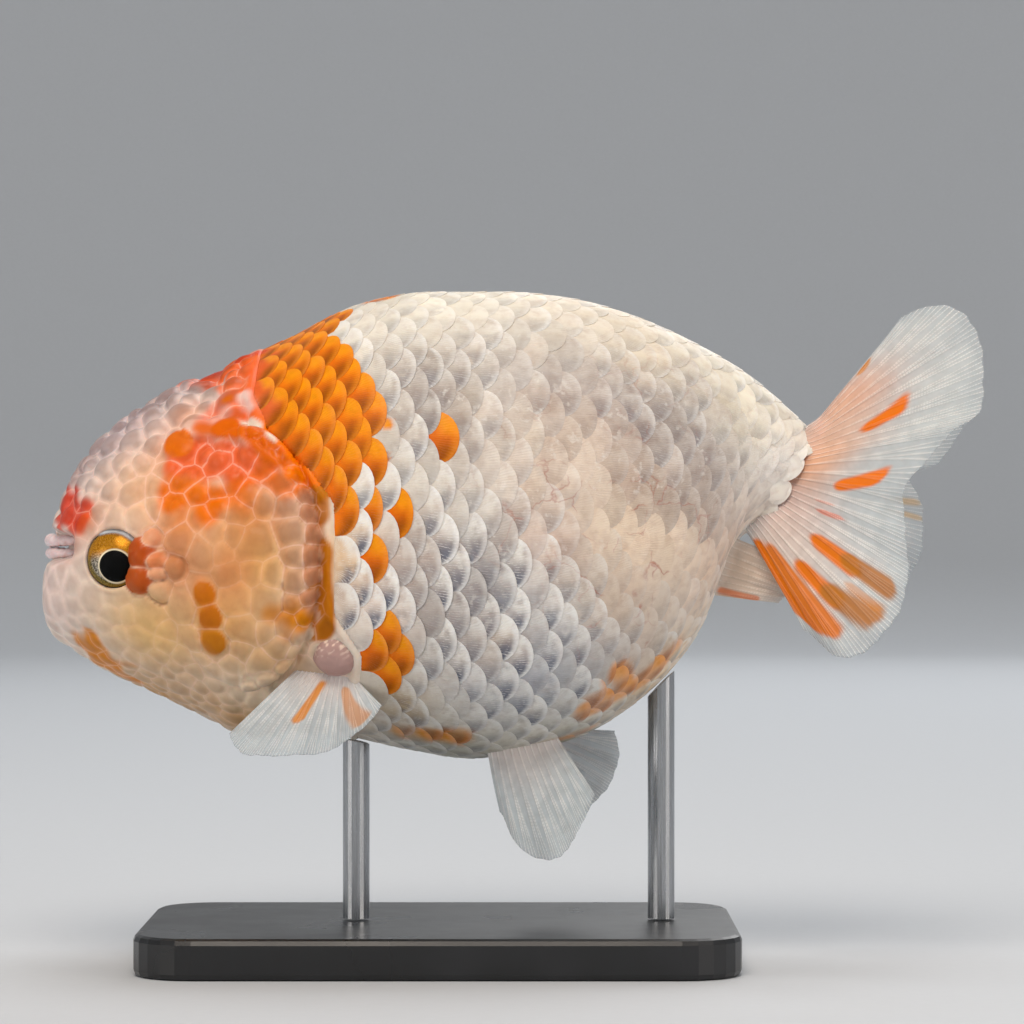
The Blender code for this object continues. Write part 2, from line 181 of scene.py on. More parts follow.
# Soft washes of tone, the same on both sides: tone, (x, distance from the midplane, z), reach
WASHES = (
    (CREAM_PEARL, (0, 6, 98), 15),
    ("#E8D6BC", (25, 6, 94), 14),
    (CREAM_PEARL, (43, 5, 86), 11),
    (CREAM_PEARL, (50, 5, 77), 8),
    ("#A49892", (1, 27, 82), 9),
    ("#BCB0AA", (15, 24, 84), 9),
    ("#B4A6A4", (28, 21, 80), 9),
    ("#B8AAA4", (39, 16, 75), 8),
    ("#ECD4C4", (16, 27, 72), 8),
    ("#F4DCC0", (24, 25, 67), 8),
    ("#F4D8BC", (31, 22, 62), 9),
    ("#DCC6BC", (-9, 28, 58), 8),
    ("#A0A2A8", (6, 27, 57), 8),
    (BLUE_GREY, (12, 22, 44), 12),
    ("#C0BEC0", (26, 19, 48), 8),
    ("#F0D4BA", (40, 13, 57), 8),
    (BELLY_SAGE, (0, 8, 31), 11),
    (BELLY_SAGE, (16, 6, 32), 10),
    (CREAM_PEACH, (33, 7, 43), 9),
    ("#BEB0B8", (-46, 8, 79), 13),
    (LILAC_WHITE, (-37, 4, 87), 9),
    (LILAC_WHITE, (-54, 6, 72), 7),
    (PINK_WHITE, (-40, 17, 77), 6),
    (PEACH, (-42, 20, 70), 7),
    (PEACH, (-36, 23, 66), 7),
    (PINK_WHITE, (-56, 10, 57), 10),
    (PINK_WHITE, (-29, 14, 84), 5),
    (CREAM_PEACH, (-42, 20, 51), 9),
    ("#F4CC8C", (-41, 20, 49.5), 5),
    (THROAT_SAND, (-43, 6, 40), 9),
    (THROAT_SAND, (-28, 12, 35), 13),
    (BUTTER, (-26, 29, 60), 8),
    (CHEEK_GOLD, (-31, 25, 52), 9),
    (THROAT_SAND, (-24, 25, 45), 6),
    # painted light: lifts the shade that the pectoral fin casts on the throat
    ("#F8E4C8", (-27, 20, 40.5), 5.5),
    (GILL_PEACH, (-27, 27, 67), 6),
    (FAWN, (-30, 27, 58.5), 4),
    (FAWN, (-37.5, 23.5, 59.5), 4.5),
    ("#F0CBA4", (-13, 28, 60), 5),
    ("#DCBCAC", (17.3, 26.5, 62.8), 5),
    ("#F6DEC2", (25.8, 24, 65.7), 6),
    ("#BCA89C", (34.5, 20, 68.6), 5),
    ("#D6BEAA", (20, 24, 76), 8),
    ("#A09692", (0.4, 26.5, 54), 8),
    ("#CDB8A6", (8.6, 25, 48), 4),
    ("#E2C6AC", (25.8, 21.5, 54), 6),
    ("#A88858", (-5.6, 18.5, 39.5), 4),
    # the tail root's near-white: partly its white scales, partly painted light where it turns from the
    # lamps
    ("#FFFCF6", (51, 8, 74), 7),
    ("#FFF4DC", (44, 9, 82), 6),
    ("#E8D6C4", (12, 26, 78.5), 4.5),
    ("#C2AAA0", (12, 26.5, 65.5), 3),
    ("#F2DECA", (18.5, 25.5, 71.5), 6),
    ("#E8D2BC", (31.5, 19, 51), 4.5),
    ("#D8C0AC", (28, 16.5, 45.5), 3.5),
    ("#F0DEC4", (30, 14, 88), 5),
    ("#A89A92", (-3, 22, 85), 6),
    ("#B4A498", (4, 19, 88), 4),
    ("#E4D2BC", (4.5, 24.5, 81.5), 2.5),
    ("#FFE8CE", (32.5, 19, 61.5), 5),
    ("#A8988E", (31, 19, 80), 4.5),
    ("#C0A494", (27, 22, 71.5), 3.5),
    ("#F6E2D4", (-8, 28, 52.5), 4),
    ("#AC9C94", (-2, 28.5, 62), 4),
    ("#B8A298", (38.5, 14, 66), 3.5),
    ("#DC9C78", (-38.6, 19.4, 76), 3.0),
    ("#DE8E58", (-36, 22.5, 72), 4),
    ("#C88474", (-53.4, 14.5, 62.6), 2.8),
    ("#D89878", (-50.2, 17, 65.6), 3),
    ("#DCA488", (-36.5, 16.5, 81.3), 3.5),
    ("#E89050", (-36.5, 23, 65.5), 3.5),
)

# Markings as brush strokes: tone, one end, other end, radius, softness of the edge, strength
# markings behind the gill cover, which the lobes of its rim overlap
RIM_MARKINGS = (
    (OCHRE, (-20.6, -25.8, 73.0), (-17.0, -27, 70.4), 2.2, 1.0, 0.95),
    (OCHRE, (-18.6, -27.2, 69), (-18.0, -27.2, 61.5), 2.0, 1.0, 0.85),
    (OCHRE, (-17.2, -27.3, 69.4), (-17.0, -27.3, 66.8), 2.0, 1.0, 0.9),
    (OCHRE, (-17.4, -27.0, 60.8), (-17.2, -25.8, 50.5), 2.75, 0.8, 1.0),
    (OCHRE, (-17.0, 27, 71), (-16.9, 26, 60), 2.4, 0.6, 0.8),
)
MARKINGS = (
    (ORANGE, (-28, -10, 88.8), (-20.0, -12, 92.2), 5.2, 0.7, 1.0),
    (ORANGE, (-29, 2, 90), (-20.5, 2, 94.6), 5.8, 0.7, 1.0),
    (ORANGE, (-21.5, -7, 93.0), (-16.2, -7, 95.2), 4.4, 0.7, 1.0),
    (ORANGE, (-25.6, -20, 82.5), (-22.0, -21, 84), 3.2, 0.7, 1.0),
    (ORANGE, (-21, -18, 86.5), (-16.0, -19.6, 86.6), 5.2, 0.7, 1.0),
    (ORANGE, (-20, -23, 80), (-13.8, -24.5, 81), 5.2, 0.7, 1.0),
    (ORANGE, (-18.8, -25.6, 75), (-14.6, -27, 75.6), 4.8, 0.7, 1.0),
    (ORANGE, (-12.2, -22.5, 84.0), (-12.2, -27, 74.0), 4.2, 0.7, 1.0),
    (ORANGE, (-17.0, -26.8, 72.6), (-11.6, -27.8, 72), 2.2, 0.7, 1.0),
    (ORANGE, (-26, 12, 88), (-16, 17, 88), 6.0, 0.7, 1.0),
    (ORANGE, (-20, 22, 80), (-14, 24, 81), 5.0, 0.7, 1.0),
    (SALMON, (-36.5, -1, 88.0), (-26, -5, 91), 3.4, 2.6, 0.62),
    (SALMON, (-33.5, -8, 86.6), (-26, -12, 88.5), 3.0, 2.2, 0.9),
    (RED_ORANGE, (-33.5, -4, 88.2), (-26, -7, 90.6), 2.0, 2.0, 0.75),
    (SALMON, (-30.8, -17, 83.2), (-25.6, -19, 82.4), 2.8, 2.6, 0.55),
    (ORANGE, (-30.4, -14.6, 84.8), (-25.4, -16.4, 85.6), 1.3, 1.8, 0.7),
    (NAPE_PEACH, (-30.4, -12, 87.0), (-26.2, -19.6, 82.6), 3.2, 2.0, 0.92),
    (SALMON, (-27.0, -14, 87.4), (-25.8, -18, 85), 1.2, 1.4, 0.9),
    (PINK_WHITE, (-28.2, -18.0, 83.6), (-27.2, -19.6, 82.0), 0.9, 1.4, 0.85),
    (ORANGE, (-30.8, -17.2, 83.3), (-30.2, -16.8, 82.8), 0.8, 1.2, 0.95),
    (SALMON, (-33.5, -18.6, 80.2), (-29.0, -19.6, 80.8), 2.0, 2.2, 0.6),
    (SALMON, (-36.4, -20.8, 74.8), (-24.9, -26.2, 73.2), 3.6, 2.2, 0.95),
    (ORANGE, (-38.0, -22.3, 69.5), (-32.2, -25.8, 68.4), 2.6, 2.2, 0.95),
    (ORANGE, (-33.4, -25.8, 66.6), (-26.6, -27.0, 69.6), 2.3, 2.6, 0.85),
    (ORANGE, (-24.4, -26.6, 71.2), (-20.6, -26.6, 70.2), 2.1, 1.8, 0.75),
    (FOLD_ORANGE, (-34.6, -18.2, 78.4), (-29.0, -20.9, 78.8), 1.3, 1.3, 0.95),
    (FOLD_ORANGE, (-31.0, -19.9, 78.6), (-26.3, -23.3, 77.0), 1.7, 1.0, 1.0),
    (FOLD_ORANGE, (-26.3, -23.3, 77.0), (-22.6, -25.8, 73.6), 1.6, 1.0, 1.0),
    (SALMON, (-34, 22.5, 74), (-24, 26.8, 72.5), 3.6, 2.4, 0.8),
    (RED_ORANGE, (-54.9, -9, 67.9), (-52.8, -15.2, 66.8), 2.7, 1.6, 0.92),
    (RED_ORANGE, (-53.8, -14.5, 64.9), (-51.9, -16.4, 64.6), 1.1, 1.4, 0.8),
    (SALMON, (-51.4, -16.6, 64.2), (-50.7, -16.9, 66.2), 1.0, 1.8, 0.6),
    (RED_ORANGE, (-55.0, 6, 69), (-53.5, 11, 68), 1.6, 1.0, 0.7),
    (AMBER, (-50.9, -12.4, 47.6), (-48.6, -9.8, 44.8), 2.3, 1.6, 0.97),
    (AMBER, (-51.6, -9.5, 46.2), (-47.6, -6.5, 43.2), 2.3, 1.4, 0.95),
    (AMBER, (-48.9, -7.0, 44.0), (-45.6, -6.2, 42.0), 2.2, 1.6, 0.92),
    (AMBER, (-47.0, -11.4, 45.0), (-44.6, -12.6, 44.8), 0.9, 1.5, 0.7),
    (ORANGE, (-34.4, -26.0, 56.8), (-33.4, -25.9, 53.8), 1.5, 2.6, 0.75),
    (AMBER, (-33.5, -24.4, 55.2), (-32.5, -22.8, 48.5), 1.5, 1.2, 0.9),
    (AMBER, (-23.6, -27.6, 52.7), (-19.8, -26.8, 51.6), 1.8, 1.4, 1.0),
    (AMBER, (-20.0, -27.4, 53.6), (-21.0, -26.4, 50.0), 1.5, 1.6, 0.7),
    (FAWN_OCHRE, (-4.6, -13.6, 34.4), (3.0, -14.4, 33.6), 2.2, 2.0, 0.5),
    (FAWN_OCHRE, (-1.0, -14.0, 34.6), (-0.4, -14.4, 34.4), 1.8, 1.2, 0.55),
    (FAWN_OCHRE, (2.4, -14.4, 34.0), (2.8, -14.4, 34.0), 1.5, 1.2, 0.55),
    (BELLY_ORANGE, (22.0, -13.4, 38.4), (27.4, -12.4, 41.2), 2.1, 1.4, 0.6),
    (BELLY_ORANGE, (26.6, -16.6, 44.0), (27.2, -15.0, 42.4), 2.1, 1.2, 0.7),
    (BELLY_ORANGE, (28.6, -12.0, 42.0), (32.4, -11.4, 44.6), 2.3, 1.6, 0.6),
    (BELLY_ORANGE, (33.4, -11.4, 46.0), (34.6, -10.8, 47.4), 1.7, 1.6, 0.5),
    (BELLY_ORANGE, (16.0, -7.0, 32.6), (22.0, -7.0, 34.6), 1.5, 2.4, 0.45),
    (ORANGE, (12.0, 21.0, 41.0), (18.0, 19.0, 39.5), 2.6, 1.2, 0.7),
    (ORANGE, (-9.4, -5.0, 98.6), (-7.8, -5.2, 98.8), 1.7, 1.2, 0.9),
)
# small markings with their own outlines, which cross the scales
DROP_MARKINGS = (
    (ORANGE, (-7.1, -26.4, 79.4), (-7.0, -26.4, 79.4), 0.75, 0.5, 1.0),
    (ORANGE, (-8.0, -27.6, 74.3), (-7.9, -27.6, 74.3), 0.95, 0.5, 1.0),
)

# Single scales that are orange all over, by the point each lies nearest to
ORANGE_SCALES = (
    (-14.1, -28.0, 66.8),
    (-12.0, -28.1, 67.3),
    (-8.3, -28.6, 66.7),
    (-4.7, -28.8, 65.2),
    (-9.7, -28.3, 59.2),
    (2.0, -27.0, 78.6),
    (-4.8, -26.6, 50.0),
    (-7.7, -25.6, 46.7),
    (-4.3, -25.0, 45.7),
    (-6.3, -22.6, 41.8),
    (-13.2, -21.5, 86.0),
    (-6.0, 28.0, 70.0),
    (-2.0, 28.5, 66.0),
    (20.0, 24.0, 76.0),
    (24.0, 22.0, 80.0),
    (6.0, 10.0, 99.0),
)


# --- Sums on arrays -------------------------------------------------------------------------------
def soft_step(value, low, high):
    share = np.clip((value - low) / (high - low), 0, 1)
    return share * share * (3 - 2 * share)


def unit(vectors):
    return vectors / np.maximum(np.linalg.norm(vectors, axis=-1, keepdims=True), 1e-9)


def ripple(points, size, seed):
    """Smooth noise of about -1 to 1 whose bumps are as wide as size."""
    rolls = np.random.default_rng(seed)
    total = np.zeros(len(points))
    for _ in range(7):
        way = unit(rolls.normal(size=3))
        wave = 2 * math.pi / size * rolls.uniform(0.35, 1.0)
        total += np.sin(points @ way * wave + rolls.uniform(0, 6.28))
    return total / 2.6


def keys_at(rows, steps):
    """Rows of a table at fractional places, on a smooth curve through all of them."""
    rows = np.asarray(rows, float)
    steps = np.asarray(steps, float)
    row = np.clip(steps.astype(int), 0, len(rows) - 2)
    share = (steps - row)[..., None]
    a, b = rows[np.maximum(row - 1, 0)], rows[row]
    c, d = rows[row + 1], rows[np.minimum(row + 2, len(rows) - 1)]
    curve = (2 * a - 5 * b + 4 * c - d) * share + (3 * b - a - 3 * c + d) * share**2
    return b + share * (c - a + curve) / 2


def distance_to_stroke(points, start, end):
    start, end = np.array(start, float), np.array(end, float)
    along = end - start
    share = np.clip((points - start) @ along / max(along @ along, 1e-9), 0, 1)
    return np.linalg.norm(points - start - share[:, None] * along, axis=1)


# --- The body's smooth surface --------------------------------------------------------------------
AROUND = 720


def section_points(stations, turns):
    """Points of sections; a turn runs from 0 at the back over the right side to the belly."""
    top_x, top_z, bottom_x, bottom_z, half_width = np.moveaxis(stations, -1, 0)[..., None]
    across, up = np.sin(turns), np.cos(turns)
    roundness = np.where(up > 0, BACK_ROUNDNESS, BELLY_ROUNDNESS)
    across = np.sign(across) * np.abs(across) ** (2 / roundness)
    rise = np.abs(up) ** (2 / roundness)
    share = np.where(up > 0, WIDEST_SHARE + (1 - WIDEST_SHARE) * rise, WIDEST_SHARE * (1 - rise))
    x = bottom_x + (top_x - bottom_x) * share
    z = bottom_z + (top_z - bottom_z) * share
    return np.stack([x, half_width * across, z], -1)


def even_rings():
    """The body as rings of points that are evenly spaced round it, and each ring's distance."""
    steps = np.linspace(0, len(BODY_STATIONS) - 1, 40 * (len(BODY_STATIONS) - 1) + 1)
    stations = keys_at(BODY_STATIONS, steps)
    dense = np.linspace(0, 2 * math.pi, 2 * AROUND + 1)
    rough = section_points(stations, np.broadcast_to(dense, (len(steps), len(dense))))
    runs = np.cumsum(np.linalg.norm(np.diff(rough, axis=1), axis=2), axis=1)
    turns = np.empty((len(steps), AROUND + 1))
    for k, run in enumerate(runs):
        shares = np.concatenate([[0], run / run[-1]])
        turns[k] = np.interp(np.linspace(0, 1, AROUND + 1), shares, dense)
    rings = section_points(stations, turns)
    steps_long = np.linalg.norm(np.diff(rings, axis=0), axis=2).mean(axis=1)
    return rings, np.concatenate([[0], np.cumsum(steps_long)]), runs[:, -1]


RINGS, RING_PLACE, RING_GIRTH = even_rings()
BODY_LENGTH = RING_PLACE[-1]


def body_at(place, round_share):
    """Points of the body at distances from the mouth and shares of the way round from the back."""
    row = np.interp(place, RING_PLACE, np.arange(len(RING_PLACE)))
    column = (round_share % 1.0) * AROUND
    i = np.clip(row.astype(int), 0, len(RINGS) - 2)
    j = np.clip(column.astype(int), 0, AROUND - 1)
    s, t = (row - i)[..., None], (column - j)[..., None]
    near = RINGS[i, j] * (1 - t) + RINGS[i, j + 1] * t
    far = RINGS[i + 1, j] * (1 - t) + RINGS[i + 1, j + 1] * t
    return near * (1 - s) + far * s


def body_normal(place, round_share):
    step = 0.35
    turn = step / np.interp(place, RING_PLACE, RING_GIRTH)
    ahead = np.minimum(place + step, BODY_LENGTH)
    behind = np.maximum(place - step, 0.0)
    along = body_at(ahead, round_share) - body_at(behind, round_share)
    across = body_at(place, round_share + turn) - body_at(place, round_share - turn)
    return unit(np.cross(along, across))


FLANK_X = RINGS[:, AROUND // 4, 0]


def place_of_x(x):
    """The distance from the mouth at which the flank has this x."""
    return float(np.interp(x, FLANK_X, RING_PLACE))


# --- Paint ------------------------------------------------------------------------------------------
def blended(points, start, washes):
    """A value or colour at each point: washes of (value, middle, reach) laid over a start."""
    mirrored = points * [1, 0, 1] + np.abs(points) * [0, 1, 0]
    found = np.tile(np.atleast_1d(np.array(start, float)), (len(points), 1))
    for value, middle, reach in washes:
        gap = np.linalg.norm(mirrored - np.array(middle, float), axis=1)
        weight = np.exp(-((gap / reach) ** 2))[:, None] * 0.9
        found = found * (1 - weight) + np.array(value, float) * weight
    return found


def base_tones(points):
    washes = [(linear(tone), middle, reach) for tone, middle, reach in WASHES]
    return blended(points, linear(PEARL), washes)


def gill_share(points):
    """How far points lie from the gill cover's middle, 1 at its rim, and how far to its rear."""
    behind = (points[:, 0] - GILL_COVER["x"]) / GILL_COVER["length"]
    turn = np.degrees(np.arctan2(points[:, 2] - AXIS_Z, np.abs(points[:, 1])))
    return np.hypot(behind, (turn - GILL_COVER["turn"]) / GILL_COVER["spread"]), behind


def marked(tones, points, edge_noise, scale_middles=None, markings=MARKINGS):
    """Tones with the markings brushed over them, and how orange each point is."""
    orange = np.zeros(len(points))
    for tone, start, end, radius, softness, strength in markings:
        # a marking with a crisp edge colours each scale as a whole
        whole = scale_middles is not None and softness < 1.1
        spots = scale_middles if whole else points
        gap = distance_to_stroke(spots, start, end) - radius
        wander = 0.1 if tone == OCHRE else min(0.28 * radius, 0.9)
        gap += edge_noise[:: len(points) // len(spots)] * wander
        cover = soft_step(-gap, -softness / 2, softness / 2) * strength
        if whole:
            cover = np.repeat(np.where(cover > 0.5, 1.0, 0.0), len(points) // len(spots))
        tones = tones * (1 - cover[:, None]) + np.array(linear(tone)) * cover[:, None]
        warm = 0.0 if tone == PINK_WHITE else cover
        orange = orange * (1 - cover) + warm
    return tones, orange


# --- Writing meshes ---------------------------------------------------------------------------------
def write_piece(name, points, faces, corners, fields, material, replaced, sharp=None):
    """A smooth mesh piece, with its UV maps from corners and its point attributes from fields."""
    mesh = bpy.data.meshes.new(name)
    mesh.from_pydata((points * MM).tolist(), [], [face for group in faces for face in group.tolist()])
    for layer, coordinates in corners.items():
        flat = np.concatenate([part.reshape(-1, 2) for part in coordinates])
        mesh.uv_layers.new(name=layer).data.foreach_set("uv", flat.astype(np.float32).ravel())
    for field, values in fields.items():
        if values.ndim == 2:
            whole = np.concatenate([values, np.ones((len(values), 1))], axis=1)
            layer = mesh.attributes.new(field, "FLOAT_COLOR", "POINT")
            layer.data.foreach_set("color", whole.astype(np.float32).ravel())
        else:
            layer = mesh.attributes.new(field, "FLOAT", "POINT")
            layer.data.foreach_set("value", values.astype(np.float32))
    mesh.shade_smooth()
    if sharp:
        mesh.set_sharp_from_angle(angle=math.radians(sharp))
    mesh.materials.append(material)
    obj = bpy.data.objects.new(name, mesh)
    bpy.context.scene.collection.objects.link(obj)
    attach(obj, "root")
    if replaced:
        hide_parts(*replaced)
    return obj


def grid_faces(rows, columns):
    """Quads of a grid whose points are numbered row by row."""
    i, j = np.meshgrid(np.arange(rows - 1), np.arange(columns - 1), indexing="ij")
    first = (i * columns + j).ravel()
    return np.stack([first, first + columns, first + columns + 1, first + 1], 1)


def grid_border(rows, columns):
    """Numbers of the points round the edge of such a grid, in turn."""
    index = np.arange(rows * columns).reshape(rows, columns)
    return np.concatenate([index[0, ::-1], index[1:, 0], index[-1, 1:], index[-2:0:-1, -1]])


# --- Materials --------------------------------------------------------------------------------------
PER_MM = 1000.0  # divided by a grain in millimetres, gives a pattern's scale in metres
SMOOTH = {"interpolation_type": "SMOOTHSTEP"}
TIMES = {"operation": "MULTIPLY"}
COLOUR = {"data_type": "RGBA"}
STAIN = {"data_type": "RGBA", "blend_type": "MULTIPLY"}
RELIEF = 0.0001  # how far a bump of full strength rises, in metres


def rgba(tone):
    return (*linear(tone), 1.0)


def new_material(name):
    material = bpy.data.materials.new(name)
    material.use_nodes = True
    return material, material.node_tree, material.node_tree.nodes["Principled BSDF"]


def link_inputs(tree, node, inputs):
    """Fills inputs by name, or in order those in use, with constants or other nodes' outputs."""
    if not isinstance(inputs, dict):
        inputs = dict(zip((n for n, socket in enumerate(node.inputs) if socket.enabled), inputs))
    for key, value in inputs.items():
        if isinstance(value, bpy.types.NodeSocket):
            tree.links.new(value, node.inputs[key])
        else:
            node.inputs[key].default_value = value


def add_node(tree, kind, inputs=(), output=None, **settings):
    """Adds a node with its settings and links, and gives its first output or the one named."""
    node = tree.nodes.new("ShaderNode" + kind)
    for name, setting in settings.items():
        setattr(node, name, setting)
    link_inputs(tree, node, inputs)
    return node.outputs[output] if output else next(socket for socket in node.outputs if socket.enabled)


def hood_skin_material():
    """Wen: living skin in soft lobes, wet and waxy, so light sinks in and the gloss stays broad; pale
    light is painted along its creases and shade in its lobes' middles.
    """
    material, tree, shader = new_material("wen_skin_wet")
    place = add_node(tree, "TexCoord", output="Object")
    tone = add_node(tree, "Attribute", output="Color", attribute_name="tone")
    edge, wen, middle = (
        add_node(tree, "Attribute", output="Fac", attribute_name=name)
        for name in ("cell_edge", "wen", "core")
    )
    # a pale line of painted light follows each crease, here wider and there narrower
    crease = add_node(tree, "UVMap", uv_map="Crease")
    crease = add_node(tree, "SeparateXYZ", [crease], output="X")
    crease = add_node(tree, "Math", [crease, 0.5], operation="SUBTRACT")
    crease = add_node(tree, "Math", [crease, CREASE_RANGE], **TIMES)
    crease = add_node(tree, "Math", [crease], operation="ABSOLUTE")
    width = add_node(tree, "TexNoise", [place, PER_MM / 2.0])
    width = add_node(tree, "MapRange", [width, 0.3, 0.7, 0.13, 0.24], **SMOOTH)
    line = add_node(tree, "MapRange", [crease, 0.03, width, 1.0, 0.0], **SMOOTH)
    line = add_node(tree, "Math", [line, wen], **TIMES)
    # painted glow rises near each lobe's edge and joins the crease line
    edge_glow = add_node(tree, "MapRange", [edge, 0.0, 0.6, 0.2, 0.0], **SMOOTH)
    edge_glow = add_node(tree, "Math", [edge_glow, wen], **TIMES)
    line = add_node(tree, "Math", [line, edge_glow], operation="MAXIMUM")
    line = add_node(tree, "Math", [line, 0.72], **TIMES)
    # painted shade darkens each lobe's translucent middle
    core_shade = add_node(tree, "MapRange", [edge, 0.1, 1.0], **SMOOTH)
    core_shade = add_node(tree, "Math", [core_shade, middle], **TIMES)
    core_shade = add_node(tree, "Math", [core_shade, 0.7], **TIMES)
    core = add_node(tree, "Mix", [core_shade, tone, rgba("#9A8C88")], **STAIN)
    crease_light = add_node(tree, "Mix", [0.55, tone, rgba("#FFDCCB")], **COLOUR)
    colour = add_node(tree, "Mix", [line, core, crease_light], **COLOUR)
    mottle = add_node(tree, "TexNoise", [place, PER_MM / 1.6, 3.0])
    mottle = add_node(tree, "MapRange", [mottle, 0.35, 0.7, 0.0, 0.16], **SMOOTH)
    colour = add_node(tree, "Mix", [mottle, colour, rgba("#C9A08E")], **STAIN)
    fine = add_node(tree, "TexNoise", [place, PER_MM / 0.5])
    damp = add_node(tree, "TexNoise", [place, PER_MM / 3.0])
    settings = {
        "Base Color": colour,
        "Roughness": add_node(tree, "MapRange", [damp, 0.3, 0.7, 0.3, 0.42], **SMOOTH),
        "Normal": add_node(tree, "Bump", {"Height": fine, "Strength": 0.12, "Distance": RELIEF}),
        "IOR": 1.4,
        "Specular IOR Level": 0.16,
        "Subsurface Weight": 0.3,
        "Subsurface Radius": (1.0, 0.5, 0.3),
        "Subsurface Scale": 0.0011,
        "Coat Weight": 0.05,
        "Coat Roughness": 0.2,
    }
    link_inputs(tree, shader, settings)
    return material


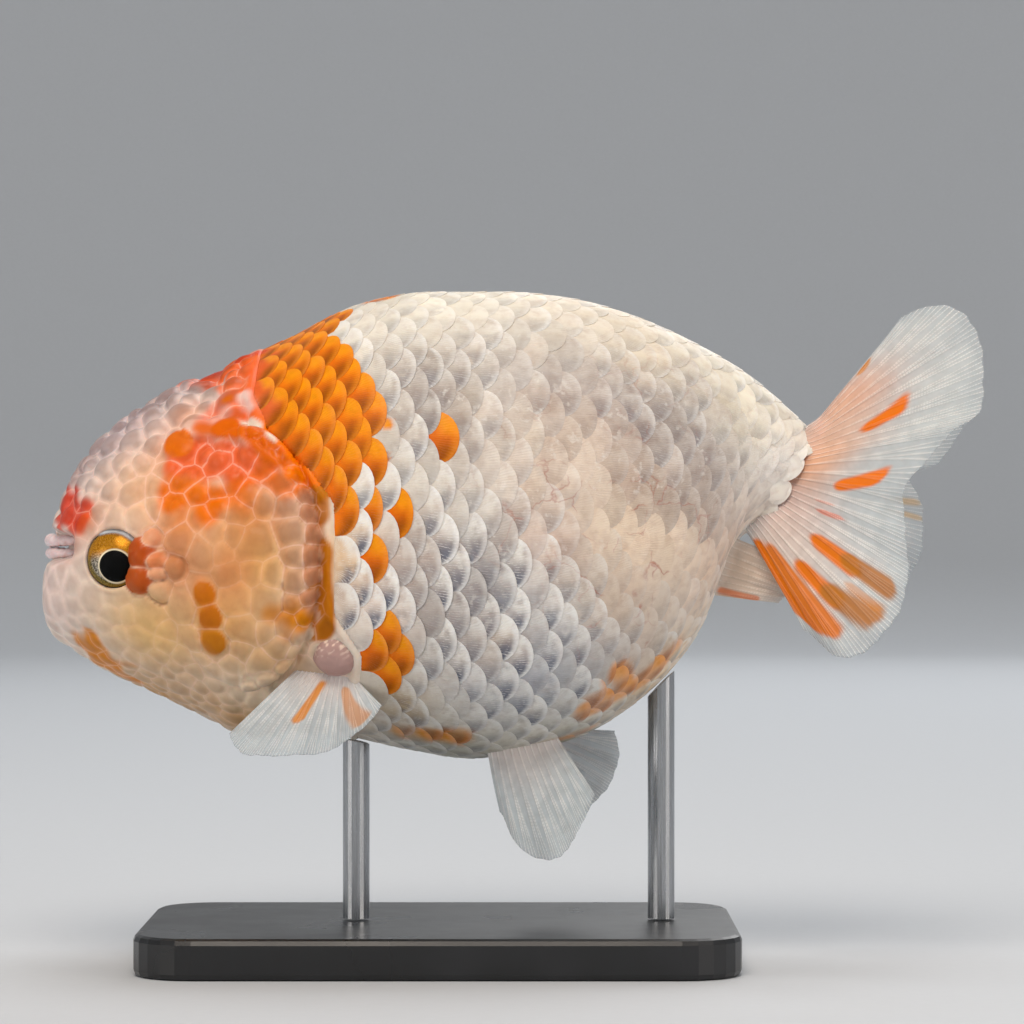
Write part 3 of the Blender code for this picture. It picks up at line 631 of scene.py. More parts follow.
def scale_material():
    """Scales: thin bone plates over guanine, with a painted highlight that makes each white above and
    painted shade that makes it blue below.
    """
    material, tree, shader = new_material("fish_scale_pearly")
    place = add_node(tree, "TexCoord", output="Object")
    tone = add_node(tree, "Attribute", output="Color", attribute_name="tone")
    silver, orange, veined, haze = (
        add_node(tree, "Attribute", output="Fac", attribute_name=name)
        for name in ("silver", "orange", "vein", "haze")
    )
    plate = add_node(tree, "UVMap", uv_map="Plate")
    up = add_node(tree, "SeparateXYZ", [plate], output="X")
    along = add_node(tree, "SeparateXYZ", [plate], output="Y")
    # growth lines fan out over each plate, too fine to show, so they are drawn as few and broad
    spread = add_node(tree, "Math", [along, 0.3], operation="ADD")
    angle = add_node(tree, "Math", [up, 0.5], operation="SUBTRACT")
    angle = add_node(tree, "Math", [angle, spread], operation="DIVIDE")
    fan_at = add_node(tree, "CombineXYZ", [angle, along])
    fan_inputs = {"Scale": 7.0, "Distortion": 2.0, "Detail": 3.0, "Detail Scale": 2.5, "Vector": fan_at}
    fan = add_node(tree, "TexWave", fan_inputs, output="Fac", bands_direction="X")
    flecks = add_node(tree, "TexNoise", [place, PER_MM / 0.7, 4.0])
    broken = add_node(tree, "MapRange", [flecks, 0.42, 0.62], **SMOOTH)
    ray = add_node(tree, "MapRange", [fan, 0.8, 1.0], **SMOOTH)
    # silver plates get painted shade, blue, on the lower half and a painted highlight, white, on the
    # upper, where clouds let them
    clouds = add_node(tree, "TexNoise", [place, PER_MM / 2.6, 4.0])
    thick = add_node(tree, "MapRange", [clouds, 0.25, 0.5], **SMOOTH)
    thin = add_node(tree, "MapRange", [clouds, 0.7, 0.45], **SMOOTH)
    below = add_node(tree, "MapRange", [up, 0.62, 0.22], **SMOOTH)
    low = add_node(tree, "MapRange", [along, 0.35, 0.8], **SMOOTH)
    low = add_node(tree, "Math", [below, low], **TIMES)
    above = add_node(tree, "MapRange", [up, 0.40, 0.74], **SMOOTH)
    high = add_node(tree, "MapRange", [along, 0.5, 0.8], **SMOOTH)
    high = add_node(tree, "Math", [above, high], **TIMES)
    # thin red veins run under the scales where little silver hides them
    bent = add_node(tree, "TexNoise", [place, PER_MM / 4.545, 3.0], output="Color")
    warp = add_node(tree, "VectorMath", [bent, (0.006, 0.006, 0.006)], **TIMES)
    warped = add_node(tree, "VectorMath", [place, warp], operation="ADD")
    net = add_node(tree, "TexVoronoi", [warped, PER_MM / 5.882], feature="DISTANCE_TO_EDGE")
    vein = add_node(tree, "MapRange", [net, 0.0, 0.032, 1.0, 0.0], **SMOOTH)
    parted = add_node(tree, "TexNoise", [place, PER_MM / 5.0])
    parted = add_node(tree, "MapRange", [parted, 0.45, 0.62], **SMOOTH)
    # orange plates get a warm painted highlight at the rim, and silver ones end in a clear rim drawn as a
    # white painted highlight
    warm = add_node(tree, "MapRange", [along, 0.8, 0.97], **SMOOTH)
    rim = add_node(tree, "MapRange", [along, 0.86, 0.98], **SMOOTH)
    mottle = add_node(tree, "TexNoise", [place, PER_MM / 1.3, 4.0])
    mottle = add_node(tree, "MapRange", [mottle, 0.4, 0.75, 0.0, 0.22], **SMOOTH)
    blotch = add_node(tree, "TexNoise", [place, PER_MM / 5.0, 4.0])
    blotch = add_node(tree, "MapRange", [blotch, 0.46, 0.62, 0.0, 0.5], **SMOOTH)
    # painted glints lie in patches, and none on orange
    painted_glint = add_node(tree, "TexNoise", [place, PER_MM / 1.1, 3.0])
    painted_glint = add_node(tree, "MapRange", [painted_glint, 0.56, 0.68], **SMOOTH)
    patches = add_node(tree, "TexNoise", [place, PER_MM / 4.0])
    patches = add_node(tree, "MapRange", [patches, 0.45, 0.6, 0.0, 0.8], **SMOOTH)
    bare = add_node(tree, "Math", [1.0, orange], operation="SUBTRACT", use_clamp=True)
    # layers of colour: what their shares are multiplied from, their tone and how they are laid on
    layers = (
        # painted shade: the lower half of silver plates turns blue
        ((low, silver, thick, 0.95), "#6C7282", COLOUR),
        # painted highlight: the upper half of silver plates turns white
        ((high, silver, thin, 0.8), "#FFFAF2", COLOUR),
        ((vein, parted, veined, 0.75), "#B8503E", COLOUR),
        # painted highlight on the upper half of orange plates
        ((high, orange, 0.75), "#FFA000", COLOUR),
        # painted shade on the lower half of orange plates
        ((low, orange, 0.8), "#8C4800", COLOUR),
        # painted highlight, warm, at the rim of orange plates
        ((warm, orange, 0.5), "#FF9200", COLOUR),
        # painted highlight, white, along the rim of silver plates
        ((rim, silver, 0.8), "#FBF8F4", COLOUR),
        ((ray, broken, silver, 0.75), "#FAF6F4", COLOUR),
        ((mottle,), "#C4A8A0", STAIN),
        ((blotch, haze), "#B39E98", STAIN),
        # painted glints
        ((painted_glint, haze, patches, bare, 0.7), "#FFFAF2", COLOUR),
    )
    colour = tone
    for (share, *factors), layer_tone, laid_on in layers:
        for factor in factors:
            share = add_node(tree, "Math", [share, factor], **TIMES)
        colour = add_node(tree, "Mix", [share, colour, rgba(layer_tone)], **laid_on)
    height = add_node(tree, "Math", [clouds, 2.0], **TIMES)
    height = add_node(tree, "Math", [fan, height], operation="ADD")
    settings = {
        "Base Color": colour,
        "Roughness": add_node(tree, "MapRange", [clouds, 0.3, 0.7, 0.32, 0.5], **SMOOTH),
        "Normal": add_node(tree, "Bump", {"Height": height, "Strength": 0.2, "Distance": RELIEF}),
        "IOR": 1.45,
        "Specular IOR Level": 0.15,
        "Subsurface Weight": 0.2,
        "Subsurface Radius": (1.0, 0.6, 0.4),
        "Subsurface Scale": 0.0012,
        "Coat Weight": 0.03,
        "Coat Roughness": 0.2,
    }
    link_inputs(tree, shader, settings)
    return material


def fin_material():
    """Fin membrane: wet clear skin stretched between bony rays, so it lets the background through."""
    material, tree, shader = new_material("fin_membrane_wet")
    place = add_node(tree, "TexCoord", output="Object")
    tone = add_node(tree, "Attribute", output="Color", attribute_name="tone")
    body, lane, out, joints, stain = (
        add_node(tree, "Attribute", output="Fac", attribute_name=name)
        for name in ("body", "lane", "out", "joints", "stain")
    )
    # each ray is a line that parts in two, and in two again, on its way to the margin
    gap = add_node(tree, "Math", [lane, 0.5], operation="PINGPONG")
    part = add_node(tree, "MapRange", [out, 0.2, 1.0, 0.0, 0.25])
    gap = add_node(tree, "Math", [gap, part], operation="SUBTRACT")
    gap = add_node(tree, "Math", [gap], operation="ABSOLUTE")
    part = add_node(tree, "MapRange", [out, 0.45, 1.0, 0.0, 0.125])
    gap = add_node(tree, "Math", [gap, part], operation="SUBTRACT")
    gap = add_node(tree, "Math", [gap], operation="ABSOLUTE")
    half = add_node(tree, "MapRange", [out, 0.0, 1.0, 0.2, 0.06])
    bone = add_node(tree, "Math", [gap, half], operation="DIVIDE")
    bone = add_node(tree, "Math", [1.0, bone], operation="SUBTRACT", use_clamp=True)
    bone = add_node(tree, "MapRange", [bone, 0.0, 0.9], **SMOOTH)
    # bony joints lie every 0.2 mm or so, and are drawn twice as coarse so that they show
    joints = add_node(tree, "Math", [out, joints], **TIMES)
    joints = add_node(tree, "Math", [joints], operation="SINE")
    cut = add_node(tree, "MapRange", [joints, 0.0, 1.0, 0.0, 0.2], **SMOOTH)
    past_root = add_node(tree, "MapRange", [out, 0.1, 0.3], **SMOOTH)
    cut = add_node(tree, "Math", [cut, past_root], **TIMES)
    cut = add_node(tree, "Math", [1.0, cut], operation="SUBTRACT")
    bone = add_node(tree, "Math", [bone, cut], **TIMES)
    mist = add_node(tree, "TexNoise", [place, PER_MM / 2.4, 3.0])
    bare = add_node(tree, "Math", [stain, 0.82], **TIMES)
    bare = add_node(tree, "Math", [1.0, bare], operation="SUBTRACT")
    white = add_node(tree, "MapRange", [mist, 0.25, 0.75, 0.16, 0.42], **SMOOTH)
    white = add_node(tree, "Math", [bone, white], **TIMES)
    white = add_node(tree, "Math", [white, bare], **TIMES)
    haze = add_node(tree, "MapRange", [mist, 0.3, 0.7, -0.08, 0.08], **SMOOTH)
    haze = add_node(tree, "Math", [haze, bare], **TIMES)
    alpha = add_node(tree, "Math", [bone, 0.9], **TIMES)
    alpha = add_node(tree, "Math", [body, alpha], operation="MAXIMUM")
    settings = {
        "Base Color": add_node(tree, "Mix", [white, tone, rgba("#FBF6F0")], **COLOUR),
        "Alpha": add_node(tree, "Math", [alpha, haze], operation="ADD", use_clamp=True),
        "Roughness": add_node(tree, "MapRange", [mist, 0.3, 0.7, 0.3, 0.45], **SMOOTH),
        "Normal": add_node(tree, "Bump", {"Height": bone, "Strength": 0.35, "Distance": RELIEF}),
        "IOR": 1.4,
        "Specular IOR Level": 0.3,
        "Subsurface Weight": 0.2,
        "Subsurface Radius": (1.0, 0.7, 0.6),
        "Subsurface Scale": 0.0008,
    }
    link_inputs(tree, shader, settings)
    return material


def lip_material():
    """Lip flesh: smooth, damp and pale, so it glows softly and takes a broad shine."""
    material, tree, shader = new_material("lip_flesh_damp")
    place = add_node(tree, "TexCoord", output="Object")
    mottle = add_node(tree, "TexNoise", [place, PER_MM / 0.9, 3.0])
    mottle = add_node(tree, "MapRange", [mottle, 0.3, 0.75], **SMOOTH)
    fine = add_node(tree, "TexNoise", [place, PER_MM / 0.6])
    settings = {
        "Base Color": add_node(tree, "Mix", [mottle, rgba("#EFDADB"), rgba("#DFC2C2")], **COLOUR),
        "Roughness": add_node(tree, "MapRange", [fine, 0.3, 0.7, 0.28, 0.42], **SMOOTH),
        "Subsurface Weight": 0.35,
        "Subsurface Radius": (1.0, 0.5, 0.4),
        "Subsurface Scale": 0.001,
        "Coat Weight": 0.3,
        "Coat Roughness": 0.15,
    }
    link_inputs(tree, shader, settings)
    return material


def iris_material():
    """Iris: reflecting gold and silver layers under a wet surface, round a black pupil."""
    material, tree, shader = new_material("iris_gilt_wet")
    away, gold, pupil, turn = (
        add_node(tree, "Attribute", output="Fac", attribute_name=name)
        for name in ("away", "gold", "pupil", "turn")
    )
    around = add_node(tree, "Math", [turn, 9.0], **TIMES)
    around = add_node(tree, "CombineXYZ", [around, away])
    streaks = add_node(tree, "TexNoise", [around, 2.2, 4.0])
    bold = add_node(tree, "MapRange", [streaks, 0.38, 0.62], **SMOOTH)
    soft = add_node(tree, "MapRange", [streaks, 0.3, 0.7], **SMOOTH)
    silver = add_node(tree, "Mix", [bold, rgba("#2C261E"), rgba("#BDB5A6")], **COLOUR)
    gilt = add_node(tree, "Mix", [soft, rgba("#985E0A"), rgba("#CC9028")], **COLOUR)
    olive = add_node(tree, "Mix", [soft, rgba("#4E421E"), rgba("#927C3C")], **COLOUR)
    ring = add_node(tree, "MapRange", [away, 3.1, 3.5], **SMOOTH)
    colour = add_node(tree, "Mix", [ring, silver, olive], **COLOUR)
    colour = add_node(tree, "Mix", [gold, colour, gilt], **COLOUR)
    # rings from the white of the eye in to the pupil, each as what it reads, where and how much
    rings = (
        (away, 3.7, 4.0, 0.7, "#8A7030"),
        (away, 4.02, 4.2, 1.0, "#2E2716"),
        (pupil, 0.2, 0.1, 1.0, "#E2D6B8"),
        (pupil, 0.06, 0.02, 1.0, "#010101"),
    )
    for value, start, end, most, ring_tone in rings:
        share = add_node(tree, "MapRange", [value, start, end, 0.0, most], **SMOOTH)
        colour = add_node(tree, "Mix", [share, colour, rgba(ring_tone)], **COLOUR)
    settings = {
        "Base Color": colour,
        "Metallic": add_node(tree, "MapRange", [pupil, 0.0, 0.2, 0.0, 0.3], **SMOOTH),
        "Roughness": add_node(tree, "MapRange", [pupil, 0.0, 0.1, 0.5, 0.25], **SMOOTH),
        "Specular IOR Level": 0.05,
    }
    link_inputs(tree, shader, settings)
    return material


def cornea_material():
    """Cornea: clear wet tissue, seen by its shine and a faint milky edge at its top, which is partly a
    painted reflection.
    """
    material, tree, shader = new_material("cornea_clear")
    milky_and_reflection = add_node(tree, "Attribute", output="Fac", attribute_name="milky_and_reflection")
    settings = {
        "Base Color": rgba("#D3DEE8"),
        "Alpha": add_node(tree, "MapRange", [milky_and_reflection, 0.0, 1.0, 0.004, 0.85], **SMOOTH),
        "Roughness": 0.05,
        "Specular IOR Level": 0.15,
        "Coat Weight": 0.2,
        "Coat Roughness": 0.03,
    }
    link_inputs(tree, shader, settings)
    return material


def base_material():
    """Acrylic: cast black sheet with a satin-polished face, so reflections are soft."""
    material, tree, shader = new_material("acrylic_black_satin")
    place = add_node(tree, "TexCoord", output="Object")
    fine = add_node(tree, "TexNoise", [place, PER_MM / 0.4, 4.0])
    smear = add_node(tree, "TexNoise", [place, PER_MM / 14.0, 3.0])
    share = add_node(tree, "MapRange", [smear, 0.4, 0.7], **SMOOTH)
    settings = {
        "Base Color": add_node(tree, "Mix", [share, rgba("#17181A"), rgba("#1F2023")], **COLOUR),
        "Roughness": add_node(tree, "MapRange", [smear, 0.3, 0.7, 0.26, 0.36], **SMOOTH),
        "Normal": add_node(tree, "Bump", {"Height": fine, "Strength": 0.05, "Distance": RELIEF}),
        "IOR": 1.49,
    }
    link_inputs(tree, shader, settings)
    return material


def steel_material():
    """Steel: drawn rod, brushed along its length, so the shine breaks into fine upright lines."""
    material, tree, shader = new_material("steel_rod_brushed")
    place = add_node(tree, "TexCoord", output="Object")
    drawn = add_node(tree, "Mapping", {"Vector": place, "Scale": (1.0, 1.0, 0.03)})
    lines = add_node(tree, "TexNoise", [drawn, PER_MM / 0.25, 3.0])
    settings = {
        "Base Color": add_node(tree, "Mix", [lines, rgba("#B9BBBE"), rgba("#8D9094")], **COLOUR),
        "Metallic": 1.0,
        "Roughness": add_node(tree, "MapRange", [lines, 0.3, 0.7, 0.22, 0.38], **SMOOTH),
        "Normal": add_node(tree, "Bump", {"Height": lines, "Strength": 0.2, "Distance": RELIEF}),
    }
    link_inputs(tree, shader, settings)
    return material


def stage_material():
    """Paper: matt backdrop sheet with a faint grain, so it takes no shine."""
    material, tree, shader = new_material("backdrop_paper_matt")
    place = add_node(tree, "TexCoord", output="Object")
    grain = add_node(tree, "TexNoise", [place, PER_MM / 2.0, 3.0])
    settings = {
        "Base Color": add_node(tree, "Mix", [grain, rgba("#C6CBD1"), rgba("#CACFD5")], **COLOUR),
        "Roughness": 0.9,
    }
    link_inputs(tree, shader, settings)
    return material


# --- Skin -------------------------------------------------------------------------------------------
SKIN_DEPTH = 0.55  # how far the skin lies inside the scales
FINE_GRAIN = 0.34
COARSE_RINGS = 64
MOUTH_Z = 61.65
WEN_END_X = -8.0  # the lobes' middles lie ahead of this
CREASE_RANGE = 10.0  # distances from a crease that fill its map from edge to edge
LIPS = {"upper": {"z": 62.65, "radius": 0.92}, "lower": {"z": 60.75, "radius": 0.8}}
LIP_WIDTH = 6.6
LIP_DEPTH = 5.2
LIP_FRONT_X = -57.9
LIP_BEND = math.radians(86)
# where the scales begin, as (z, x) up the flank
SCALE_BORDER = (
    (30, -13),
    (37, -12.4),
    (46, -11.4),
    (52, -15.2),
    (68, -15.2),
    (73, -18.8),
    (78, -24.4),
    (84, -27.4),
    (92, -26.8),
)
EYE_MIDDLE = (-46.05, 17.1, 60.05)
EYE_RADIUS = 4.25
IRIS_RADIUS = 4.3
EYE_AXIS = (-0.25, 0.96, 0.03)
# height of the wen's lobes: value, middle, reach
LOBE_HEIGHTS = (
    (0.02, (-57, 6, 56), 9),
    (0.02, (-54, 15, 57), 8),
    (0.0, (-26, 29, 58), 9),
    (0.0, (-42, 20, 50), 10.5),
    (0.10, (-30, 8, 35), 14),
    (0.08, (-48, 8, 43), 8),
    (0.05, (-49, 18, 62), 4.5),
    (0.26, (-36, 24, 60), 7),
    (0.12, (-32, 23, 46), 8),
    (0.45, (-38, 20, 71), 7),
    (1.15, (-46, 8, 84), 12),
    (1.0, (-28, 25, 74), 6),
)
LOBE_SIZES = (
    (2.4, (-46, 10, 43), 10),
    (2.5, (-50, 14, 70), 5),
    (2.5, (-30, 18, 41), 8),
    (3.0, (-37, 22, 62), 6),
    (2.8, (-31, 25, 72), 6),
)
# strength of the painted pale light along the creases
CREASE_LIGHT_WASHES = (
    (0.0, (-57, 6, 56), 8),
    (0.10, (-54, 14, 57), 7),
    (0.06, (-43, 20, 50), 9.5),
    (0.35, (-53.5, 12, 67.5), 3.5),
    (0.0, (-26, 29, 58), 9.5),
    (0.0, (-32, 27.5, 61), 5.5),
    (1.0, (-19.5, 27, 60), 5),
    (0.5, (-30, 8, 38), 12),
    (0.55, (-34, 24, 48), 6),
)
# how much painted shade darkens the lobes' translucent middles
CORE_SHADE_WASHES = (
    (1.0, (-44, 8, 84), 13),
    (0.9, (-33, 10, 87), 8),
    (0.7, (-53, 10, 73), 8),
    (0.25, (-38, 20, 71), 7),
    (0.3, (-29, 24, 74), 6),
    (0.1, (-43, 20, 52), 10),
    (0.1, (-27, 28, 58), 9),
    (0.75, (-20.5, 27.0, 60), 6),
    (0.7, (-21.5, 26.5, 71), 4),
    (0.45, (-30, 10, 37), 12),
)
# lobes that crowd over the rear of the eye: how far ahead and up of its middle, radius, tone
EYE_LOBES = (
    (-4.5, 0.9, 2.35, "#BC4E00"),
    (-4.0, -3.2, 2.35, "#B84E00"),
    (-7.0, -0.3, 1.25, "#E08A58"),
    (-6.9, -2.3, 1.0, "#E2A47C"),
    (-9.3, -1.2, 1.5, None),
    (-6.0, 3.4, 1.4, "#E9A67E"),
    (-7.4, -4.8, 1.6, None),
)
# lobes that are coloured all over, each at its own place: middle, radius, tone
MARKED_LOBES = (
    ((-33.6, -26.0, 55.2), 1.6, "#D07408"),
    ((-32.8, -25.4, 51.9), 1.75, "#C87004"),
    ((-32.6, -24.3, 48.5), 1.75, "#CE7E08"),
    ((-37.4, -19.2, 76.7), 2.15, ORANGE),
    ((-41.5, 20.8, 50.5), 1.9, DEEP_ORANGE),
    ((-39.0, 21.8, 48.5), 1.9, DEEP_ORANGE),
    ((-36.5, 23.2, 49.5), 1.9, AMBER),
)
# the smooth fold over the gill cover, as points along it
FOLD_BAND = (
    ((-35.4, 17.8, 78.5), 1.2),
    ((-32.3, 19.3, 78.8), 1.3),
    ((-29.0, 20.9, 78.5), 1.2),
    ((-26.3, 23.5, 76.7), 0.9),
    ((-24.2, 25.2, 74.7), 0.6),
    ((-20.9, 26.6, 71.6), 0.4),
)


def border_x(z):
    heights, places = zip(*SCALE_BORDER)
    return np.interp(z, heights, places)


def rim_seeds(points, share, around, spacing):
    """Seeds in a row along the gill cover's rear rim, on both sides."""
    turn = np.degrees(np.arctan2(points[:, 2] - AXIS_Z, np.abs(points[:, 1])))
    found = []
    for side in SIDES.values():
        last = None
        for angle in np.radians(np.arange(around[0], around[1], 1.0)):
            x = GILL_COVER["x"] + GILL_COVER["length"] * share * math.cos(angle)
            wanted = GILL_COVER["turn"] + GILL_COVER["spread"] * share * math.sin(angle)
            off = (points[:, 0] - x) ** 2 + ((turn - wanted) * 0.45) ** 2
            spot = points[(off + 999 * (points[:, 1] * side < 0)).argmin()]
            if last is None or np.linalg.norm(spot - last) > spacing:
                found.append(spot)
                last = spot
    return found


def eye_lobe_seeds(points):
    """Seeds of the lobes behind each eye, on the skin."""
    found = []
    for side in SIDES.values():
        middle, axis, ahead, up = eye_frame(side)
        near = points - middle
        hidden = (near @ axis < 0) * 999.0
        for h, v, _, _ in EYE_LOBES:
            found.append(points[((near @ ahead - h) ** 2 + (near @ up - v) ** 2 + hidden).argmin()])
    return found


def in_socket(points, margin):
    """True for points that lie within a margin of either eye's opening."""
    found = np.zeros(len(points), bool)
    for side in SIDES.values():
        middle, axis, ahead, up = eye_frame(side)
        near = points - middle
        found |= (np.hypot(near @ ahead, near @ up) < EYE_RADIUS + margin) & (near @ axis > 0)
    return found


def wen_seeds(points):
    """Middles of the wen's lobes and their radii, kept apart by the size that the lobes have there."""
    seeds = [points[np.linalg.norm(points - spot, axis=1).argmin()] for spot, _, _ in MARKED_LOBES]
    seeds += eye_lobe_seeds(points)
    radii = [1.3 * radius for _, radius, _ in MARKED_LOBES]
    radii += [radius for _, _, radius, _ in EYE_LOBES] * 2
    for share, around, spacing in ((0.955, (-82, 110), 2.8), (0.76, (-66, 100), 3.2)):
        row = rim_seeds(points, share, around, spacing)
        seeds += row
        radii += list(spacing * RANDOM.uniform(0.5, 0.68, len(row)))
    free = (points[:, 0] < border_x(points[:, 2]) + 3) & ~in_socket(points, 0.8)
    picks = RANDOM.permutation(np.flatnonzero(free))[:24000]
    sizes = blended(points[picks], 3.5, LOBE_SIZES)[:, 0] * RANDOM.uniform(0.72, 1.22, len(picks))
    kept, room = np.array(seeds), np.array(radii) * 0.85
    for spot, size in zip(points[picks], sizes):
        if (np.linalg.norm(kept - spot, axis=1) - room).min() > 0.55 * size:
            kept = np.vstack([kept, spot])
            room = np.append(room, 0.45 * size)
            radii.append(0.62 * size)
    return kept, np.array(radii)


def swayed(points):
    """Points moved a little, so that the edges of the lobes wander."""
    return points + 0.2 * np.stack([ripple(points, 4.2, k) for k in (31, 32, 33)], 1)


def nearest_lobes(points, seeds, radii):
    """For each point the numbers of its two nearest lobes, nearest first."""
    found = np.empty((len(points), 2), int)
    for first in range(0, len(points), 6000):
        part = slice(first, first + 6000)
        gaps = np.linalg.norm(points[part, None, :] - seeds[None], axis=2) / radii
        rows = np.arange(len(gaps))
        two = np.argpartition(gaps, 1, axis=1)[:, :2]
        swap = gaps[rows, two[:, 0]] > gaps[rows, two[:, 1]]
        found[part] = np.where(swap[:, None], two[:, ::-1], two)
    return found


def crease_distance(points, two, seeds, radii):
    """How far points lie from the crease between their two lobes, above 0 on the first one's side."""
    first, second = two[..., 0], two[..., 1]
    near = np.linalg.norm(points - seeds[first], axis=-1) / radii[first]
    far = np.linalg.norm(points - seeds[second], axis=-1) / radii[second]
    return (far - near) / (1 / radii[first] + 1 / radii[second]), near


def eye_frame(side):
    middle = np.array(EYE_MIDDLE) * [1, side, 1]
    axis = unit(np.array(EYE_AXIS) * [1, side, 1])
    ahead = unit(np.cross([0, 0, 1], axis)) * side
    ahead = ahead * np.sign(-ahead[0])
    up = unit(np.cross(axis, ahead))
    return middle, axis, ahead, up * np.sign(up[2])


def ring_plan():
    """Distances of the skin's rings from the mouth, and how many points each has."""
    fine_end = place_of_x(-9.5)
    places = list(np.arange(0.0, fine_end, FINE_GRAIN))
    places += list(np.linspace(fine_end, BODY_LENGTH, COARSE_RINGS))
    counts = []
    for place in places:
        girth = np.interp(place, RING_PLACE, RING_GIRTH)
        grain = FINE_GRAIN if place < fine_end else 1.1
        wanted = next((n for n in (56, 112, 224) if girth / n < grain * 1.15), 448)
        if counts:
            wanted = min(max(wanted, counts[-1] // 2), counts[-1] * 2)
        counts.append(wanted)
    return np.array(places), counts


def ring_corners(counts):
    """Faces between rings, each corner as (ring, number round it), where counts halve or double."""
    groups = {3: [], 4: []}
    for i, (n, m) in enumerate(zip(counts, counts[1:])):
        k = np.arange(min(n, m))
        near, far = np.full(len(k), i), np.full(len(k), i + 1)

        def corner(ring, number):
            return np.stack([ring, number], 1)

        if n == m:
            quad = [corner(near, k), corner(far, k), corner(far, k + 1), corner(near, k + 1)]
        elif m > n:
            groups[3].append(np.stack([corner(near, k), corner(far, 2 * k), corner(far, 2 * k + 1)], 1))
            quad = [corner(near, k), corner(far, 2 * k + 1), corner(far, 2 * k + 2), corner(near, k + 1)]
        else:
            groups[3].append(np.stack([corner(near, 2 * k), corner(far, k), corner(near, 2 * k + 1)], 1))
            quad = [corner(near, 2 * k + 1), corner(far, k), corner(far, k + 1), corner(near, 2 * k + 2)]
        groups[4].append(np.stack(quad, 1))
    return [np.concatenate(groups[size]) for size in (4, 3) if groups[size]]


def fold_calm(points):
    """0 on the smooth fold over the gill cover, rising to 1 away from it."""
    gap = np.full(len(points), 99.0)
    folded = points * [1, 0, 1] + np.abs(points) * [0, 1, 0]
    for (start, wide), (end, _) in zip(FOLD_BAND, FOLD_BAND[1:]):
        gap = np.minimum(gap, distance_to_stroke(folded, start, end) - wide)
    return soft_step(gap, 0.0, 0.8)


def rim_beads(points, lobe, lobe_out, seed_gill, seed_behind):
    """1 on the lobes, but 0 between the round beads that end the gill cover and behind them."""
    last_row = (seed_gill[lobe] > 0.88) & (seed_gill[lobe] < 1.0)
    beads = np.where(last_row, soft_step(lobe_out, 0.98, 0.87), 1.0)
    beads = np.where((seed_gill[lobe] >= 1.0) & (points[:, 0] > -24), 0.0, beads)
    return np.where(seed_behind[lobe] > 0.1, beads, 1.0)


def shape_eyes(points, moves):
    """The moves with a socket sunk for each eye, a lid round it and the lobes behind it raised."""
    for side in SIDES.values():
        middle, axis, ahead, up = eye_frame(side)
        near = points - middle
        h, v = near @ ahead, near @ up
        on_side = (near @ axis > 0) & (points[:, 0] < -36)
        away = np.hypot(h, v) / EYE_RADIUS
        # the opening is round, and lobes crowd over its rear edge
        rear_edge = -2.5 - 1.3 * soft_step(v, 1.6, 3.4) + 0.5 * soft_step(v, -1.0, -3.0)
        pocket = soft_step(np.maximum(away, 1 + (rear_edge - h) / 1.5), 1.03, 0.88) * on_side
        lid = np.exp(-(((away - 1.12) / 0.09) ** 2)) * on_side * soft_step(h, -2.5, 0.5)
        crowd = np.exp(-(((h + 4.9) / 2.3) ** 2) - ((v + 1.2) / 4.4) ** 4) * on_side
        moves = moves * (1 - pocket)[:, None]
        moves += axis * (-4.2 * pocket + 0.28 * lid + 1.7 * crowd * (1 - pocket))[:, None]
    return moves


def shape_mouth(points, normals, place, moves):
    """The moves with the face drawn back round the lips, and how deep in the mouth's slit points are."""
    front = soft_step(points[:, 0], -48.0, -52.0)
    sideways = np.abs(points[:, 1])
    floor = LIP_FRONT_X + 0.9 + 4.6 * (1 - np.sqrt(np.clip(1 - (sideways / LIP_WIDTH) ** 2, 0, 1)))
    fold = np.exp(-(((points[:, 2] - 61.8) / 2.1) ** 4)) * soft_step(sideways, 18.0, 13.5) * front
    draw = np.clip(floor - points[:, 0], 0, 4.2) * fold
    slit = np.exp(-(((points[:, 2] - MOUTH_Z) / 0.6) ** 2)) * soft_step(sideways, 5.6, 4.8) * front
    slit = np.where(place < 1.0, 1.0, slit)
    moves = moves * (1 - np.maximum(fold, slit))[:, None]
    moves += np.array([1, 0, 0]) * (draw + 2.0 * slit)[:, None]
    # the smooth lower lobe of the face, which ends in a soft fold before the cheek
    lobe_gap = np.linalg.norm((points - [-56, 0, 53.6]) / [6.5, 13.5, 7.2], axis=1)
    moves += normals * (0.6 * soft_step(lobe_gap, 1.05, 0.6) * (1 - fold))[:, None]
    return moves, slit


def skin_tones(points, light, lobe, lobe_out, edge, past_beads, dusky):
    """The skin's tones: the washes under each lobe's own light, and the markings over them."""
    tones = base_tones(points) * light
    under, _ = marked(tones, points, ripple(points, 3.2, 3), markings=RIM_MARKINGS)
    tones = tones * (1 - past_beads) + under * past_beads
    tones = tones * (1 - dusky) + np.array(linear(DUSKY_PINK)) * dusky
    tones, _ = marked(tones, points, ripple(points, 3.2, 3))
    own_tones = [tone for _, _, tone in MARKED_LOBES] + [tone for _, _, _, tone in EYE_LOBES]
    inside = in_socket(points, 0.0)
    for number, tone in enumerate(own_tones):
        if tone:
            reach = 0.84 if number < len(MARKED_LOBES) else 1.06
            near_enough = np.where(inside, 1.0, soft_step(lobe_out, reach + 0.07, reach - 0.07))
            cover = ((lobe == number) * soft_step(edge, -0.1, 0.2) * near_enough * 0.97)[:, None]
            tones = tones * (1 - cover) + np.array(linear(tone)) * cover
    return tones


